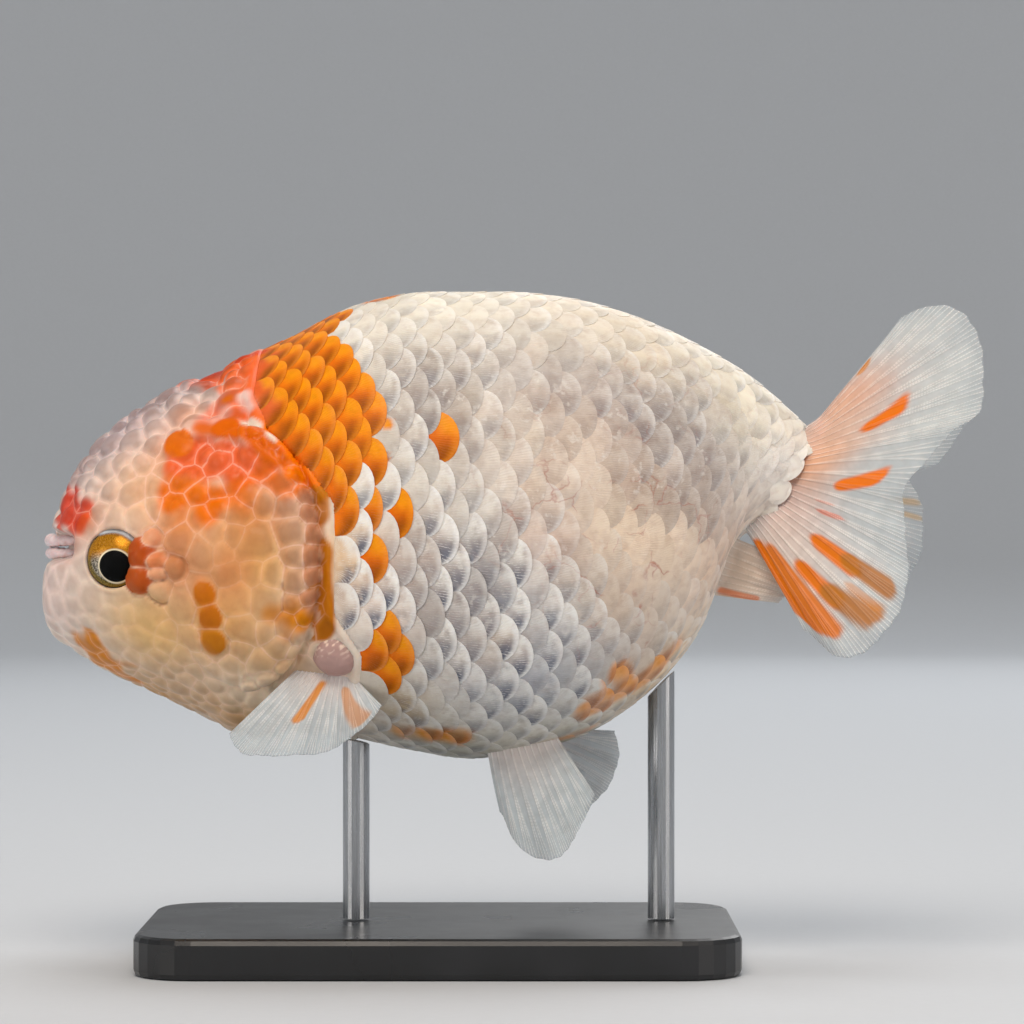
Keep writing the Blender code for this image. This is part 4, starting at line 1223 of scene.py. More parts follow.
def tail_cap(tail, first):
    """Rings of points and a tip that round off the tail's end, their faces and bake corners."""
    middle, way = tail.mean(0), 1.8 * unit(np.array([0.82, 0, -0.57]))
    turns = np.radians((18, 36, 54, 72))
    rings = [middle + (tail - middle) * math.cos(turn) + way * math.sin(turn) for turn in turns]
    n = len(tail)
    k = np.arange(n)
    faces, unwrap = [], []
    for ring in range(len(rings)):
        a = first + ring * n
        faces.append(np.stack([a + k, a + n + k, a + n + (k + 1) % n, a + (k + 1) % n], 1))
        u = np.stack([np.full(n, 0.991 + ring * 0.002), k / n], 1)
        w = np.stack([np.full(n, 0.993 + ring * 0.002), k / n], 1)
        step = np.array([0, 1 / n])
        unwrap.append(np.stack([u, w, w + step, u + step], 1) * [1, 0.98] + [0, 0.01])
    a = first + len(rings) * n
    faces.append(np.stack([a + k, np.full(n, a + n), a + (k + 1) % n], 1))
    cap = np.stack([np.full(n, 0.999), k / n], 1)
    unwrap.append(np.stack([cap, cap + [0.001, 0], cap + [0, 1 / n]], 1))
    return np.vstack([*rings, middle + way]), faces, unwrap


def skin():
    """One closed skin from the lips to the tail root, with the wen, sockets, gill covers and mouth."""
    places, counts = ring_plan()
    ring_of = np.repeat(np.arange(len(counts)), counts)
    number = np.concatenate([np.arange(n) for n in counts])
    place, share = places[ring_of], number / np.array(counts)[ring_of]
    points = body_at(place, share)
    normals = body_normal(place, share)
    normals[ring_of == 0] = (-1, 0, 0)
    seeds, radii = wen_seeds(points[points[:, 0] < WEN_END_X])

    # the gill covers stand out like cushions, steeper to the rear
    gill, behind = gill_share(points)
    cushion = np.clip(1 - gill**2, 0, 1)
    fullness = np.where(behind > 0, 0.30, 0.62)
    radial = unit(points * [0, 1, 1] - [0, 0, AXIS_Z])
    moves = radial * (GILL_COVER["rise"] * cushion**fullness)[:, None]

    # the wen's lobes are domes, each over the points that are nearest to its seed
    bent = swayed(points)
    two = nearest_lobes(bent, seeds, radii)
    edge, lobe_out = crease_distance(bent, two, seeds, radii)
    lobe = two[:, 0]
    seed_gill, seed_behind = gill_share(seeds)
    seed_rim = soft_step(seed_gill, 0.62, 0.88) * (seed_gill < 1.06) * soft_step(seed_behind, -0.25, 0.3)
    ahead_of_scales = border_x(points[:, 2]) - points[:, 0]
    on_wen = soft_step(ahead_of_scales, 0.0, 2.0)
    calm = fold_calm(points)
    height = blended(points, 0.85, LOBE_HEIGHTS)[:, 0]
    height = np.maximum(height, 1.6 * seed_rim[lobe] * soft_step(points[:, 2], 44, 52))
    own = np.zeros(len(seeds))
    own[: len(MARKED_LOBES)] = 0.6
    own[len(MARKED_LOBES) : len(MARKED_LOBES) + 2 * len(EYE_LOBES)] = 1.1
    height = np.maximum(height, own[lobe]) * on_wen * calm
    dome = np.sqrt(np.clip(1 - lobe_out**2, 0.0, 1.0))
    beads = rim_beads(points, lobe, lobe_out, seed_gill, seed_behind)
    relief = height * (dome - 0.80) * beads
    relief -= 0.6 * (1 - beads) * soft_step(ahead_of_scales, 0.2, 1.4)
    relief += 0.06 * ripple(points, 1.7, 37) * np.clip(height, 0, 1)

    # a groove runs behind the gill cover, and the skin lies deeper under the scales
    groove = np.exp(-(((gill - 1.03) / 0.035) ** 2)) * soft_step(behind, 0.1, 0.5)
    relief -= 0.8 * groove * ((gill > 1) & (behind > 0))
    relief += 0.5 * (1 - calm) * on_wen
    relief -= SKIN_DEPTH * soft_step(-ahead_of_scales, 0.0, 1.0)
    moves += normals * relief[:, None]
    moves, slit = shape_mouth(points, normals, place, shape_eyes(points, moves))
    shaped = points + moves

    past_beads = 1 - (beads * on_wen)[:, None]
    dusky = (seed_rim[lobe] * on_wen * soft_step(points[:, 2], 48, 54) * 0.85 * beads)[:, None]
    light = 1 + 0.07 * RANDOM.uniform(-1, 1, (len(seeds), 3))[lobe][:, :1] * on_wen[:, None]
    tones = skin_tones(points, light, lobe, lobe_out, edge, past_beads, dusky)
    # painted shade darkens the mouth's slit
    tones *= (1 - 0.75 * slit)[:, None]
    # the wen material reads these as painted light along the creases and painted shade in the lobes'
    # middles
    wen = blended(points, 0.95, CREASE_LIGHT_WASHES)[:, 0] * on_wen * soft_step(place, 6.0, 9.0) * calm
    core = blended(points, 0.4, CORE_SHADE_WASHES)[:, 0] * on_wen * calm

    starts = np.concatenate([[0], np.cumsum(counts)])[:-1]
    faces, unwrap, creases = [], [], []
    for group in ring_corners(counts):
        ring, count = group[..., 0], np.array(counts)[group[..., 0]]
        faces.append(starts[ring] + group[..., 1] % count)
        # each corner's distance from the crease that crosses or neighbours its face
        two = nearest_lobes(bent[faces[-1]].mean(1), seeds, radii)[:, None, :].repeat(group.shape[1], 1)
        gap, _ = crease_distance(bent[faces[-1]], two, seeds, radii)
        gap = np.clip(gap / CREASE_RANGE, -0.5, 0.5) + 0.5
        creases.append(np.stack([gap, np.zeros(gap.shape)], -1))
        unwrap.append(np.stack([places[ring] / BODY_LENGTH, group[..., 1] / count], -1) * 0.98 + 0.01)

    first = starts[-1]
    cap, cap_faces, cap_unwrap = tail_cap(shaped[first:], first)
    shaped = np.vstack([shaped, cap])
    tones = np.vstack([tones, np.resize(tones[first:], cap.shape)])
    edge = np.concatenate([edge, np.full(len(cap), 2.0)])
    wen, core = (np.concatenate([part, np.zeros(len(cap))]) for part in (wen, core))
    # one flat face closes the mouth's end
    mouth = np.stack([np.full(counts[0], 0.005), np.arange(counts[0]) / counts[0]], 1)
    faces += [*cap_faces, np.arange(counts[0])[None, :]]
    unwrap += [*cap_unwrap, mouth[None]]
    creases += [np.full((*part.shape[:2], 2), 1.0) for part in unwrap[len(creases) :]]

    fields = {"tone": tones, "cell_edge": np.clip(edge, 0, 2), "wen": wen, "core": core}
    replaced = ("head", "hood", "gill_cover_left", "gill_cover_right", "trunk", "tail_stalk")
    corners = {"OFBake": unwrap, "Crease": creases}
    write_piece("skin", shaped, faces, corners, fields, hood_skin_material(), replaced)


# --- Scales -------------------------------------------------------------------------------------------
# how many rows of scales go round the body, down to these girths
ROW_COUNTS = ((166, 56), (132, 46), (100, 36), (74, 28), (0, 22))
# length of a scale that shows, as (x, length)
SCALE_PITCHES = ((-40, 3.6), (-15, 3.7), (0, 4.2), (15, 4.8), (32, 4.5), (44, 3.5), (56, 2.7))
PLATE_ACROSS = 13
PLATE_ALONG = 12
PLATE_THICK = 0.07
PLATE_SUNK = 0.34  # how deep a plate's middle lies in the skin
PLATE_TILT = 0.088  # rise to the rear for each millimetre, where the scales are boldest
PLATE_REACH = 0.86  # how far a plate's rear rim reaches, in widths of its row
PLATE_WIDTH = 1.07  # how far it spreads to either side, in the same widths
SCALE_JITTER = 0.17  # how far scales stray from their rows and columns
# the coat is cut in two here, so that each piece stays light
FRONT_COAT_END = 14
# how boldly the scales stand out: value, middle, reach
BOLD_WASHES = (
    (1.1, (-8, 28, 60), 14),
    (1.0, (6, 25, 48), 14),
    (0.8, (-14, 20, 84), 10),
    (0.0, (31, 21, 60), 15),
    (0.05, (18, 24, 79), 12),
    (0.1, (36, 18, 76), 9),
    (1.1, (51, 5, 75), 7),
)
# how silvery a scale is, which sets how strongly its growth lines, painted highlights and painted shade
# show: value, middle, reach
SILVER_SHINE_WASHES = (
    (1.0, (-8, 28, 60), 13),
    (1.0, (4, 27, 55), 13),
    (0.8, (14, 23, 46), 12),
    (0.35, (6, 27, 72), 12),
    (0.1, (18, 25, 76), 9),
    (0.5, (26, 20, 47), 9),
    (0.0, (31, 22, 61), 13),
    (0.25, (0, 8, 97), 14),
    (0.2, (25, 8, 94), 14),
    (0.15, (50, 6, 74), 9),
)
# how far red veins show through the scales: value, middle, reach
VEIN_WASHES = (
    (1.0, (28, 22, 62), 13),
    (0.7, (14, 26, 70), 9),
    (0.4, (30, 18, 82), 10),
)
# how blotched the clear scales are, and how many painted glints they carry: value, middle, reach
BLOTCH_AND_GLINT_WASHES = (
    (0.7, (18, 24, 79), 13),
    (0.9, (34, 18, 76), 9),
    (0.8, (0, 26, 82), 7),
    (0.7, (10, 27, 62), 10),
)


def scale_columns():
    """Distances from the mouth of the columns of scales, half a scale apart."""
    xs, pitches = zip(*SCALE_PITCHES)
    place = place_of_x(-38)
    found = []
    while place < BODY_LENGTH + 1.4:
        found.append(place)
        place += np.interp(np.interp(place, RING_PLACE, FLANK_X), xs, pitches) / 2
    return np.array(found)


def lay_scales():
    """A row for each scale: its distance from the mouth, its share of the way round, its width and
    length, the number of its column, and how many places that column has."""
    columns = scale_columns()
    laid = []
    for number, place in enumerate(columns):
        girth = float(np.interp(place, RING_PLACE, RING_GIRTH))
        rows = next(count for least, count in ROW_COUNTS if girth > least)
        pitch = 2 * (columns[min(number + 1, len(columns) - 1)] - columns[min(number, len(columns) - 2)])
        for row in range(number % 2, rows, 2):
            laid.append((place, (row + 0.5) / rows, girth / rows, pitch, number, rows))
    laid = np.array(laid)
    middles = body_at(laid[:, 0], laid[:, 1])
    laid = laid[middles[:, 0] > border_x(middles[:, 2]) + 0.4]
    laid[:, 0] += RANDOM.normal(0, SCALE_JITTER, len(laid))
    stray = RANDOM.normal(0, SCALE_JITTER, len(laid))
    laid[:, 1] += stray / np.interp(laid[:, 0], RING_PLACE, RING_GIRTH)
    return laid


def plate_points(distance, turn, width, pitch, across, bulge, along):
    """The upper and lower points of each scale's plate."""
    middles = body_at(distance, turn)
    count = len(middles)
    size = RANDOM.uniform(0.9, 1.1, (count, 1, 1))
    broad, long = width[:, None, None], pitch[:, None, None]
    rear = broad * PLATE_REACH * bulge**0.9 * size
    room = (middles[:, 0] - border_x(middles[:, 2]))[:, None, None]
    front = -np.minimum(1.18 * long, room + 1.0)
    forward = front + (rear - front) * along
    sideways = across * broad * PLATE_WIDTH * (0.9 + 0.1 * along)
    girth = np.interp(distance, RING_PLACE, RING_GIRTH)[:, None, None]
    place = distance[:, None, None] + forward
    share = turn[:, None, None] + sideways / girth
    over_end = np.maximum(place - BODY_LENGTH, 0)
    place = np.clip(place, 0, BODY_LENGTH)
    surface = body_at(place, share)
    normal = body_normal(place, share)
    bold = blended(middles, 0.4, BOLD_WASHES)
    tilt = (PLATE_TILT * bold * RANDOM.uniform(0.9, 1.1, (count, 1)))[:, :, None]
    lift = -PLATE_SUNK + tilt * forward + 0.12 * bold[:, :, None] * (1 - across**2)
    lift = lift + RANDOM.uniform(-0.05, 0.05, (count, 1, 1)) * np.minimum(bold, 0.4)[:, :, None]
    # ahead of the border the plates dive under the skin
    lift = lift - 1.2 * soft_step(border_x(surface[..., 2]) - surface[..., 0], -0.4, 0.5)
    tops = surface + normal * lift[..., None] + over_end[..., None] * np.array([0.8, 0, -0.2])
    return tops, tops - normal * PLATE_THICK


def plate_looks(middles, tops):
    """The values that the scales' material reads at each upper point of each plate."""
    count, grid = len(middles), PLATE_ALONG * PLATE_ACROSS
    flat = tops.reshape(-1, 3)
    tones = base_tones(middles)[:, None, :] * 0.5 + base_tones(flat).reshape(count, grid, 3) * 0.5
    tones = tones * (1 + 0.06 * RANDOM.normal(size=(count, 1, 1)))
    shown = tops[:, 9, PLATE_ACROSS // 2]
    wobble = np.repeat(ripple(middles, 6.0, 5), grid)
    tones, orange = marked(tones.reshape(-1, 3), flat, wobble, shown)
    tones, orange = tones.reshape(count, grid, 3), orange.reshape(count, grid)
    for spot in ORANGE_SCALES:
        chosen = np.linalg.norm(shown - np.array(spot), axis=1).argmin()
        tones[chosen], orange[chosen] = linear(ORANGE), 1.0
    dropped, drops = marked(tones.reshape(-1, 3), flat, np.zeros(len(flat)), markings=DROP_MARKINGS)
    tones, orange = dropped.reshape(count, grid, 3), np.maximum(orange, drops.reshape(count, grid))
    # orange differs a little from scale to scale
    roll = RANDOM.uniform(0, 1, (count, 1, 1)) * (orange[..., None] > 0.5)
    tones = tones * (1 - 0.45 * roll) + tones * np.array([0.86, 0.62, 0.5]) * 0.45 * roll
    silver = blended(middles, 0.4, SILVER_SHINE_WASHES)[:, 0] * RANDOM.uniform(0.25, 1.45, count)
    return {
        "tone": tones,
        "orange": orange,
        "silver": np.clip(np.repeat(silver[:, None], grid, 1) * (1 - 0.94 * orange), 0, 1),
        "vein": np.repeat(blended(middles, 0.0, VEIN_WASHES), grid, 1) * (1 - orange),
        "haze": np.repeat(blended(middles, 0.15, BLOTCH_AND_GLINT_WASHES), grid, 1) * (1 - orange),
    }


def scale_coat():
    """Every scale as a thin closed plate, tucked in at its front and lifted at its rear rim."""
    distance, turn, width, pitch, column, rows = lay_scales().T
    middles = body_at(distance, turn)
    fan = np.radians(np.linspace(-90, 90, PLATE_ACROSS))
    across = np.tile(np.sin(fan), (PLATE_ALONG, 1))
    bulge = np.tile(np.cos(fan), (PLATE_ALONG, 1))
    along = np.tile((np.linspace(0, 1, PLATE_ALONG) ** 0.85)[:, None], (1, PLATE_ACROSS))
    tops, bottoms = plate_points(distance, turn, width, pitch, across, bulge, along)

    grid = PLATE_ALONG * PLATE_ACROSS
    border = grid_border(PLATE_ALONG, PLATE_ACROSS)
    following = np.roll(border, -1)
    rim = len(border)
    under = grid + np.arange(rim)
    top_faces = grid_faces(PLATE_ALONG, PLATE_ACROSS)
    rim_faces = np.stack([border, under, np.roll(under, -1), following], 1)
    rim_ends = np.stack([border, border, following, following], 1)
    tops, bottoms = tops.reshape(-1, grid, 3), bottoms.reshape(-1, grid, 3)
    points = np.concatenate([tops, bottoms[:, border]], 1)
    looks = plate_looks(middles, tops.reshape(-1, PLATE_ALONG, PLATE_ACROSS, 3))
    looks = {field: np.concatenate([value, value[:, border]], 1) for field, value in looks.items()}

    plate_uv = np.stack([across * 0.5 + 0.5, along], -1).reshape(grid, 2)
    material = scale_material()
    parts = {"front": middles[:, 0] < FRONT_COAT_END, "rear": middles[:, 0] >= FRONT_COAT_END}
    for word, side in SIDES.items():
        for part, half in parts.items():
            chosen = np.flatnonzero(half & (np.sign(middles[:, 1] + 1e-6) == side))
            offsets = (np.arange(len(chosen)) * (grid + rim))[:, None, None]
            faces = [
                (top_faces[None] + offsets).reshape(-1, 4),
                (rim_faces[None] + offsets).reshape(-1, 4),
                (under[::-1][None, None] + offsets).reshape(-1, rim),
            ]
            # the patches stand where the scales do on an unwrap of the body
            cell = np.stack([column[chosen], turn[chosen]], 1)
            low, high = cell.min(0) - [0.5, 0.012], cell.max(0) + [0.5, 0.012]
            centre = (cell - low) / (high - low)
            reach = np.stack([np.full(len(chosen), 0.42), 0.42 / rows[chosen]], 1) / (high - low)
            patch = centre[:, None, :] + (plate_uv[:, ::-1] * 2 - 1)[None] * reach[:, None, :]
            small = centre[:, None, :] + reach[:, None, :] * 0.02
            no_extent = (len(chosen), 1, rim, 2)
            bake = [patch[:, top_faces], patch[:, rim_ends], np.broadcast_to(small[:, None], no_extent)]
            # up the fish is the same way on the plates of both sides
            upright = plate_uv if side < 0 else plate_uv * [-1, 1] + [1, 0]
            upright = np.broadcast_to(upright, (len(chosen), grid, 2))
            plate = [upright[:, top_faces], upright[:, rim_ends], np.full(no_extent, 0.5)]
            corners = {"OFBake": bake, "Plate": plate}
            fields = {
                field: value[chosen].reshape(-1, *value.shape[2:]) for field, value in looks.items()
            }
            name = f"scales_{part}_{word}"
            replaced = ("trunk",) if part == "front" else ("trunk", "tail_stalk")
            body = points[chosen].reshape(-1, 3)
            write_piece(name, body, faces, corners, fields, material, replaced, 50)


# --- Fins ---------------------------------------------------------------------------------------------
MEMBRANE = "#BCC6CC"  # the tone of clear membrane
MEMBRANE_THICK = 0.13
RAY_THICK = 0.22  # more than the membrane, at the root
ROOT_THICK = 1.5  # more than both, where the flesh begins
JOINT_LENGTH = 0.42  # of the bony joints as they are drawn


def fin_points(root, rays, side, share, out):
    """Points of a fin: share runs along its root, and out from the root to the margin."""
    steps = np.interp(share, [ray[0] for ray in rays], np.arange(len(rays)))
    _, slope, length, flare = np.moveaxis(keys_at(rays, steps), -1, 0)
    slope, flare = np.radians(slope), np.radians(flare)
    reach = length * out
    camber = FIN_CAMBER * length * np.sin(math.pi * out)
    ray = np.stack([np.cos(slope) * reach, np.tan(flare) * reach + camber, np.sin(slope) * reach], -1)
    start, end = np.array(root[0]), np.array(root[1])
    return (start + (end - start) * share[..., None] + ray) * [1, side, 1]


def fin(piece, nodes, word, material, root, rays, ray_count, streaks, washes, grid):
    """A fin as one thin closed plate, with branching bony rays standing out on both faces."""
    side = SIDES[word]
    columns, rows = grid
    size = columns * rows
    nought = np.zeros(size)
    share, out = np.meshgrid(np.linspace(0, 1, columns), np.linspace(0, 1, rows), indexing="ij")
    sway = ripple(np.stack([share.ravel() * 30, out.ravel() * 4, nought], 1), 9, 11 + ray_count)
    sway = sway.reshape(share.shape)
    lane = share * ray_count + 0.5 + 0.14 * sway
    # the margin waves a little
    reach = out * (1 - 0.010 * (sway + 0.4 * np.sin(share * ray_count * 6.1)) * soft_step(out, 0.6, 1.0))
    middle = fin_points(root, rays, side, share, reach)
    down = np.gradient(middle, axis=0)
    away = np.gradient(middle, axis=1)
    normal = unit(np.cross(away, down)) * side
    gap = np.abs(lane - np.round(lane))
    gap = np.abs(gap - 0.25 * np.clip((out - 0.2) / 0.8, 0, 1))
    gap = np.abs(gap - 0.125 * np.clip((out - 0.45) / 0.55, 0, 1))
    half = 0.19 - 0.12 * out
    bone = soft_step(gap, half * 1.3, half * 0.2)
    flesh = 1 - soft_step(out, 0.0, 0.2)
    thick = MEMBRANE_THICK + RAY_THICK * bone * (1 - 0.62 * out) + ROOT_THICK * flesh**2
    # folds along the rays, deeper towards the margin
    fold = 0.30 * np.sin(share * ray_count * 2.1 + 1.7) * out**1.5
    fold += 0.55 * np.sin(share * ray_count * 0.62 + 0.6) * out**1.3 + 0.18 * sway * out
    middle = middle + normal * fold[..., None]
    front = (middle + normal * thick[..., None] / 2).reshape(-1, 3)
    back = (middle - normal * thick[..., None] / 2).reshape(-1, 3)
    quads = grid_faces(columns, rows)
    border = grid_border(columns, rows)
    following = np.roll(border, -1)
    rim = np.stack([border, border + size, following + size, following], 1)
    faces = [quads, quads[:, ::-1] + size, rim]
    corner = np.stack([share.ravel(), out.ravel()], 1)
    upper = corner * [0.96, 0.47] + [0.02, 0.01]
    lower = corner * [0.96, 0.47] + [0.02, 0.51]
    edge = np.stack([border, border, following, following], 1)
    bake = [upper[quads], lower[quads[:, ::-1]], upper[edge]]
    tones = np.tile(np.array(linear(MEMBRANE)), (size, 1))
    for tone, place, width, strength in washes:
        off = np.hypot((share - place[0]) / width[0], (out - place[1]) / width[1]).ravel()
        weight = (np.exp(-off * off) * strength)[:, None]
        tones = tones * (1 - weight) + np.array(linear(tone)) * weight
    body = 0.70 + 0.30 * flesh + 0.28 * (1 - out) ** 2 - 0.18 * soft_step(out, 0.9, 1.0)
    body = np.clip(body, 0, 1).ravel()
    stain = np.zeros(size)
    lanes = np.stack([np.round(lane * 3).ravel(), nought, nought], 1)
    fray = ripple(lanes, 3.1, 5).reshape(share.shape)
    for tone, start, end, half_width, strength in streaks:
        run = np.clip((out - start[1]) / (end[1] - start[1]), 0, 1)
        centre = start[0] + (end[0] - start[0]) * run
        beyond = np.abs(out - np.clip(out, start[1] + 0.05, end[1] - 0.05))
        off = np.hypot((share - centre) / half_width, beyond / 0.06) + 0.28 * fray
        cover = (soft_step(off, 1.35, 0.65) * strength).ravel()
        stain = np.maximum(stain, cover)
        tones = tones * (1 - cover[:, None]) + np.array(linear(tone)) * cover[:, None]
        body = np.maximum(body, cover * 0.95)
    reach = np.linalg.norm(middle[:, -1] - middle[:, 0], axis=1).mean()
    joints = np.full(size, reach / JOINT_LENGTH * 2 * math.pi)
    fields = {"tone": tones, "lane": lane.ravel(), "out": out.ravel(), "body": body, "stain": stain}
    fields["joints"] = joints
    fields = {word: np.concatenate([values, values]) for word, values in fields.items()}
    points = np.vstack([front, back])
    name, replaced = f"{piece}_{word}", [f"{node}_{word}" for node in nodes]
    write_piece(name, points, faces, {"OFBake": bake}, fields, material, replaced)


def pectoral_pad(word, material):
    """The fleshy lobe that the pectoral fin stands on."""
    columns, rows = 120, 80
    turns, rises = np.linspace(0, 2 * math.pi, columns), np.linspace(0, math.pi, rows)
    turn, rise = (part.ravel() for part in np.meshgrid(turns, rises, indexing="ij"))
    ball = np.stack([np.sin(rise) * np.cos(turn), np.sin(rise) * np.sin(turn), np.cos(rise)], -1)
    lumps = 1 + 0.014 * ripple(ball * 3.4, 2.6, 41) + 0.006 * ripple(ball * 3.4, 0.8, 42)
    middle = (np.array(PECTORAL_PAD["middle"]) + [0.9, 1.5, 1.5]) * [1, SIDES[word], 1]
    points = middle + ball * np.array(PECTORAL_PAD["radii"]) * lumps[:, None]
    quads = grid_faces(columns, rows)[:, ::-1]
    corner = np.stack([turn / 2 / math.pi, rise / math.pi], 1)
    fleck = soft_step(ripple(ball * 3.4, 0.55, 43), 0.1, 0.7)[:, None]
    fleck = fleck * soft_step(ball[:, 2:], -0.5, 0.5) * 0.9
    tones = np.array(linear(MAUVE)) * (1 - fleck) + np.array(linear("#E8D2C0")) * fleck
    levels = {"lane": 0.5, "out": 0.0, "body": 1.0, "stain": 0.0, "joints": 0.0}
    fields = {"tone": tones, **{word: np.full(len(points), level) for word, level in levels.items()}}
    name = f"pectoral_lobe_{word}"
    write_piece(name, points, [quads], {"OFBake": [corner[quads]]}, fields, material, ())


TAIL_WASHES = (
    ("#F2B496", (0.08, 0.32), (0.14, 0.30), 0.9),
    ("#F0BFA4", (0.28, 0.15), (0.24, 0.28), 0.85),
    ("#DDB9B0", (0.66, 0.15), (0.26, 0.25), 0.75),
    ("#F0B088", (0.40, 0.16), (0.12, 0.24), 0.75),
    ("#E6D2C6", (0.85, 0.35), (0.22, 0.40), 0.6),
    ("#D9DDDC", (0.20, 0.75), (0.30, 0.30), 0.6),
)
LEFT_TAIL_STREAKS = (
    (AMBER, (0.022, 0.48), (0.004, 0.62), 0.014, 0.85),
    (ORANGE, (0.255, 0.36), (0.215, 0.60), 0.026, 1.0),
    (ORANGE, (0.485, 0.46), (0.445, 0.78), 0.019, 1.0),
    ("#E07408", (0.725, 0.37), (0.720, 0.68), 0.031, 1.0),
    ("#B4701C", (0.715, 0.58), (0.703, 0.93), 0.028, 0.9),
    ("#E07408", (0.85, 0.38), (0.825, 0.72), 0.028, 1.0),
    ("#B4701C", (0.83, 0.58), (0.79, 0.94), 0.032, 0.92),
    (AMBER, (0.78, 0.66), (0.77, 0.90), 0.012, 0.5),
    (SALMON, (0.60, 0.36), (0.59, 0.52), 0.008, 0.6),
    (SALMON, (0.56, 0.32), (0.555, 0.46), 0.006, 0.4),
    ("#E07408", (0.985, 0.13), (0.965, 0.86), 0.05, 1.0),
    ("#D87410", (0.935, 0.20), (0.90, 0.84), 0.034, 0.95),
)
RIGHT_TAIL_STREAKS = (
    (ORANGE, (0.12, 0.35), (0.12, 0.60), 0.03, 0.9),
    ("#D9B06A", (0.535, 0.72), (0.53, 1.0), 0.010, 0.6),
    ("#D9B06A", (0.562, 0.76), (0.567, 1.0), 0.007, 0.6),
    (ORANGE, (0.72, 0.45), (0.72, 0.85), 0.035, 0.85),
    (ORANGE, (0.92, 0.35), (0.90, 0.80), 0.035, 0.85),
)
PECTORAL_STREAKS = (
    (AMBER, (0.49, 0.14), (0.41, 0.62), 0.055, 0.9),
    (AMBER, (0.79, 0.22), (0.89, 0.92), 0.05, 0.65),
)
ANAL_STREAKS = (("#E0742C", (0.10, 0.10), (0.05, 0.7), 0.06, 0.75),)


def fins():
    material = fin_material()
    flesh = (("#E3D3CC", (0.5, 0.0), (1.0, 0.35), 0.8),)
    peach = (("#E8CDB6", (0.5, 0.4), (1.0, 0.8), 0.8),)
    own = {
        "left": (LEFT_TAIL_RAYS, LEFT_TAIL_STREAKS, LEFT_PELVIC_RAYS),
        "right": (RIGHT_TAIL_RAYS, RIGHT_TAIL_STREAKS, RIGHT_PELVIC_RAYS),
    }
    tails, pelvic, pectoral = ("tail_upper", "tail_lower"), ("pelvic_fin",), ("pectoral_fin",)
    # a plan is root, rays, how many rays show, streaks, washes, and points along the root and outwards
    pectoral_plan = (PECTORAL_ROOT, PECTORAL_RAYS, 15, PECTORAL_STREAKS, flesh, (280, 84))
    anal_plan = (ANAL_ROOT, ANAL_RAYS, 9, ANAL_STREAKS, peach, (150, 60))
    for word in SIDES:
        tail_rays, tail_streaks, pelvic_rays = own[word]
        tail_plan = (TAIL_ROOT, tail_rays, 26, tail_streaks, TAIL_WASHES, (460, 90))
        fin("tail_fin", tails, word, material, *tail_plan)
        fin("pelvic_fin_skin", pelvic, word, material, PELVIC_ROOT, pelvic_rays, 11, (), flesh, (230, 84))
        fin("pectoral_fin_skin", pectoral, word, material, *pectoral_plan)
        pectoral_pad(word, material)
        fin("anal_fin_skin", ("anal_fin",), word, material, *anal_plan)


# --- Lips and eyes ------------------------------------------------------------------------------------
def lips():
    material = lip_material()
    columns, rows = 96, 32
    for word, lip in LIPS.items():
        spans = np.linspace(-1, 1, columns), np.linspace(0, 2 * math.pi, rows)
        along, turn = np.meshgrid(*spans, indexing="ij")
        blunt = np.maximum(1.0001 - along**2, 0.0) ** 0.25 * lip["radius"]
        bend = along * LIP_BEND
        front = np.stack([-np.cos(bend), np.sin(bend), 0 * bend], -1)
        spine = front * [LIP_DEPTH, LIP_WIDTH, 0] + [LIP_FRONT_X + LIP_DEPTH, 0, lip["z"]]
        wrinkle = 1 + 0.06 * np.sin(along * 41 + np.sin(turn) * 2) + 0.05 * np.sin(along * 17 + 2)
        swell = blunt * wrinkle
        points = spine + front * (np.cos(turn) * swell * 1.1)[..., None]
        points[..., 2] += np.sin(turn) * swell
        points = points.reshape(-1, 3)
        quads = grid_faces(columns, rows)
        corner = np.stack([along.ravel() / 2 + 0.5, turn.ravel() / 2 / math.pi], 1)
        corners = {"OFBake": [corner[quads]]}
        replaced = (f"lip_{word}",)
        write_piece(f"lip_flesh_{word}", points, [quads], corners, {}, material, replaced)


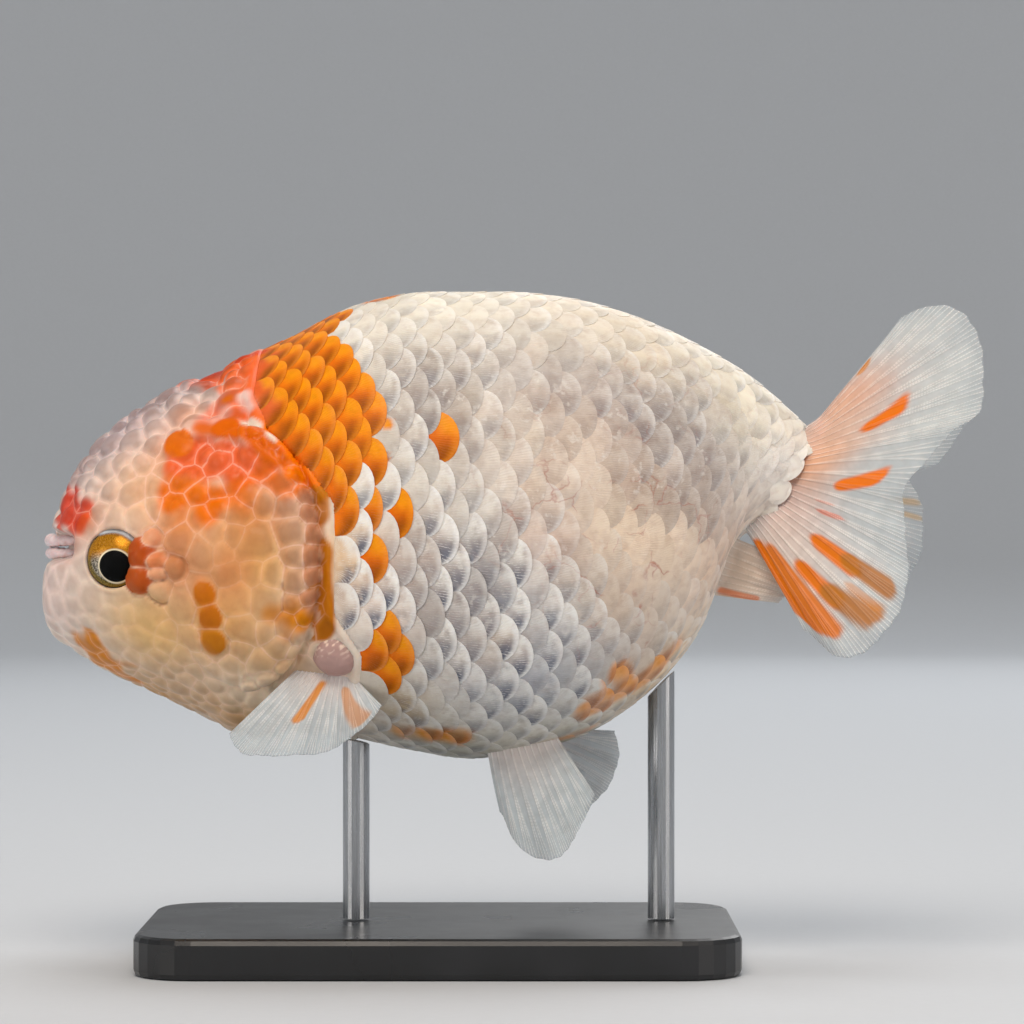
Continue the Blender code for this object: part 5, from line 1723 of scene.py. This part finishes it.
def eyes():
    gilt, clear = iris_material(), cornea_material()
    columns, rows = 97, 40
    turns, outs = np.linspace(0, 2 * math.pi, columns), np.linspace(0, 1, rows)
    turn, out = (part.ravel() for part in np.meshgrid(turns, outs, indexing="ij"))
    quads = grid_faces(columns, rows)
    corner = np.stack([out * np.cos(turn), out * np.sin(turn)], 1) * 0.48 + 0.5
    reach = out * IRIS_RADIUS
    h, v = reach * np.cos(turn), reach * np.sin(turn)
    # the eyeball's front is flatter than a ball, and its pupil looks slightly down
    off = np.hypot((h + 0.58) / 2.27, (v + 1.1) / 2.2)
    lens = 0.25 * np.clip(1 - off**2, 0, 1)
    iris_depth = 1.05 + 3.1 * np.sqrt(np.clip(1 - (reach / 4.6) ** 2, 0, 1)) + lens
    iris_fields = {
        "away": np.hypot(h, v),
        "turn": turn,
        "gold": soft_step(v + 0.2 * np.abs(h - 1.0), -0.2, 1.6),
        "pupil": np.clip(off - 1, 0, 1),
    }
    cornea_depth = 1.15 + 3.5 * np.sqrt(np.clip(1 - (reach / 4.62) ** 2, 0, 1))
    # the milky edge at the top is partly milky tissue and partly a painted reflection of the light above
    milky_and_reflection = soft_step(np.hypot(h, v), 3.3, 4.25) * soft_step(v - 0.2 * h, 2.4, 3.6)
    layers = (("iris", iris_depth, iris_fields, gilt), ("cornea", cornea_depth, {"milky_and_reflection": milky_and_reflection}, clear))
    for word, side in SIDES.items():
        middle, axis, ahead, up = eye_frame(side)
        order = quads if side > 0 else quads[:, ::-1]
        for layer, depth, fields, material in layers:
            points = middle + axis * depth[:, None] + ahead * h[:, None] + up * v[:, None]
            corners = {"OFBake": [corner[order]]}
            replaced = (f"eye_{word}",)
            write_piece(f"{layer}_{word}", points, [order], corners, fields, material, replaced)


# --- Stand, stage, light and camera -------------------------------------------------------------------
CAMERA_DISTANCE = 600.0
VIEW_WIDTH = 152.832  # at the fish's middle plane
VIEW_MIDDLE = (10.746, 66.864)  # x and z


def stand():
    finishes = {"stand_base": base_material()}
    steel = steel_material()
    for word in ("front", "rear"):
        finishes[f"stand_rod_{word}"] = steel
    for name, material in finishes.items():
        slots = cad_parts[name].data.materials
        slots.clear()
        slots.append(material)


def stage():
    """A round paper backdrop that curves up from the floor on all sides, in metres."""
    floor, curve, top = 1.3, 0.6, 2.2
    profile = [(floor, 0.0)]
    for t in np.radians(np.arange(6, 91, 6)):
        profile.append((floor + curve * math.sin(t), curve - curve * math.cos(t)))
    profile.append((floor + curve, top))
    turns = np.linspace(0, 2 * math.pi, 97)[:-1]
    n = len(turns)
    points = [(r * math.cos(t), r * math.sin(t), z) for r, z in profile for t in turns]
    middle = len(points)
    points.append((0.0, 0.0, 0.0))
    faces = [(middle, k, (k + 1) % n) for k in range(n)]
    for ring in range(len(profile) - 1):
        for k in range(n):
            a, b = ring * n + k, ring * n + (k + 1) % n
            faces.append((a, a + n, b + n, b))
    mesh = bpy.data.meshes.new("backdrop")
    mesh.from_pydata(points, [], faces)
    mesh.shade_smooth()
    mesh.materials.append(stage_material())
    obj = bpy.data.objects.new("backdrop", mesh)
    bpy.context.scene.collection.objects.link(obj)


def soft_light(name, place, target, size, power, tone="#FFFFFF"):
    data = bpy.data.lights.new(name, "AREA")
    data.shape = "DISK"
    data.size = size
    data.energy = power
    data.color = linear(tone)
    obj = bpy.data.objects.new(name, data)
    obj.location = place
    obj.rotation_euler = (Vector(target) - Vector(place)).to_track_quat("-Z", "Y").to_euler()
    bpy.context.scene.collection.objects.link(obj)


def lights():
    middle = (0.0, 0.0, 0.065)
    soft_light("key", (-0.1, -0.85, 1.1), middle, 0.8, 11.8, "#FFF2E4")
    soft_light("fill_left", (-1.0, -0.6, 0.25), middle, 0.7, 3.0, "#FFF8F0")
    soft_light("fill_right", (1.0, -0.7, 0.35), middle, 0.7, 3.4, "#FFF6EC")
    soft_light("top", (0.1, 0.35, 1.35), middle, 0.7, 5.0)
    soft_light("back", (0.3, 1.1, 0.7), middle, 0.8, 3.5)
    world = bpy.context.scene.world or bpy.data.worlds.new("studio")
    bpy.context.scene.world = world
    world.use_nodes = True
    world.node_tree.nodes["Background"].inputs["Color"].default_value = rgba("#EEEAE4")
    world.node_tree.nodes["Background"].inputs["Strength"].default_value = 0.32


def camera():
    """Square on to the left side, with a long lens."""
    data = bpy.data.cameras.new("camera")
    data.sensor_width = 36.0
    data.lens = data.sensor_width * CAMERA_DISTANCE / VIEW_WIDTH
    data.clip_start = 0.01
    obj = bpy.data.objects.new("camera", data)
    obj.location = (VIEW_MIDDLE[0] * MM, -CAMERA_DISTANCE * MM, VIEW_MIDDLE[1] * MM)
    obj.rotation_euler = (math.radians(90), 0, 0)
    bpy.context.scene.collection.objects.link(obj)
    bpy.context.scene.camera = obj
    bpy.context.scene.view_settings.view_transform = "Standard"


skin()
scale_coat()
fins()
lips()
eyes()
stand()
stage()
lights()
camera()
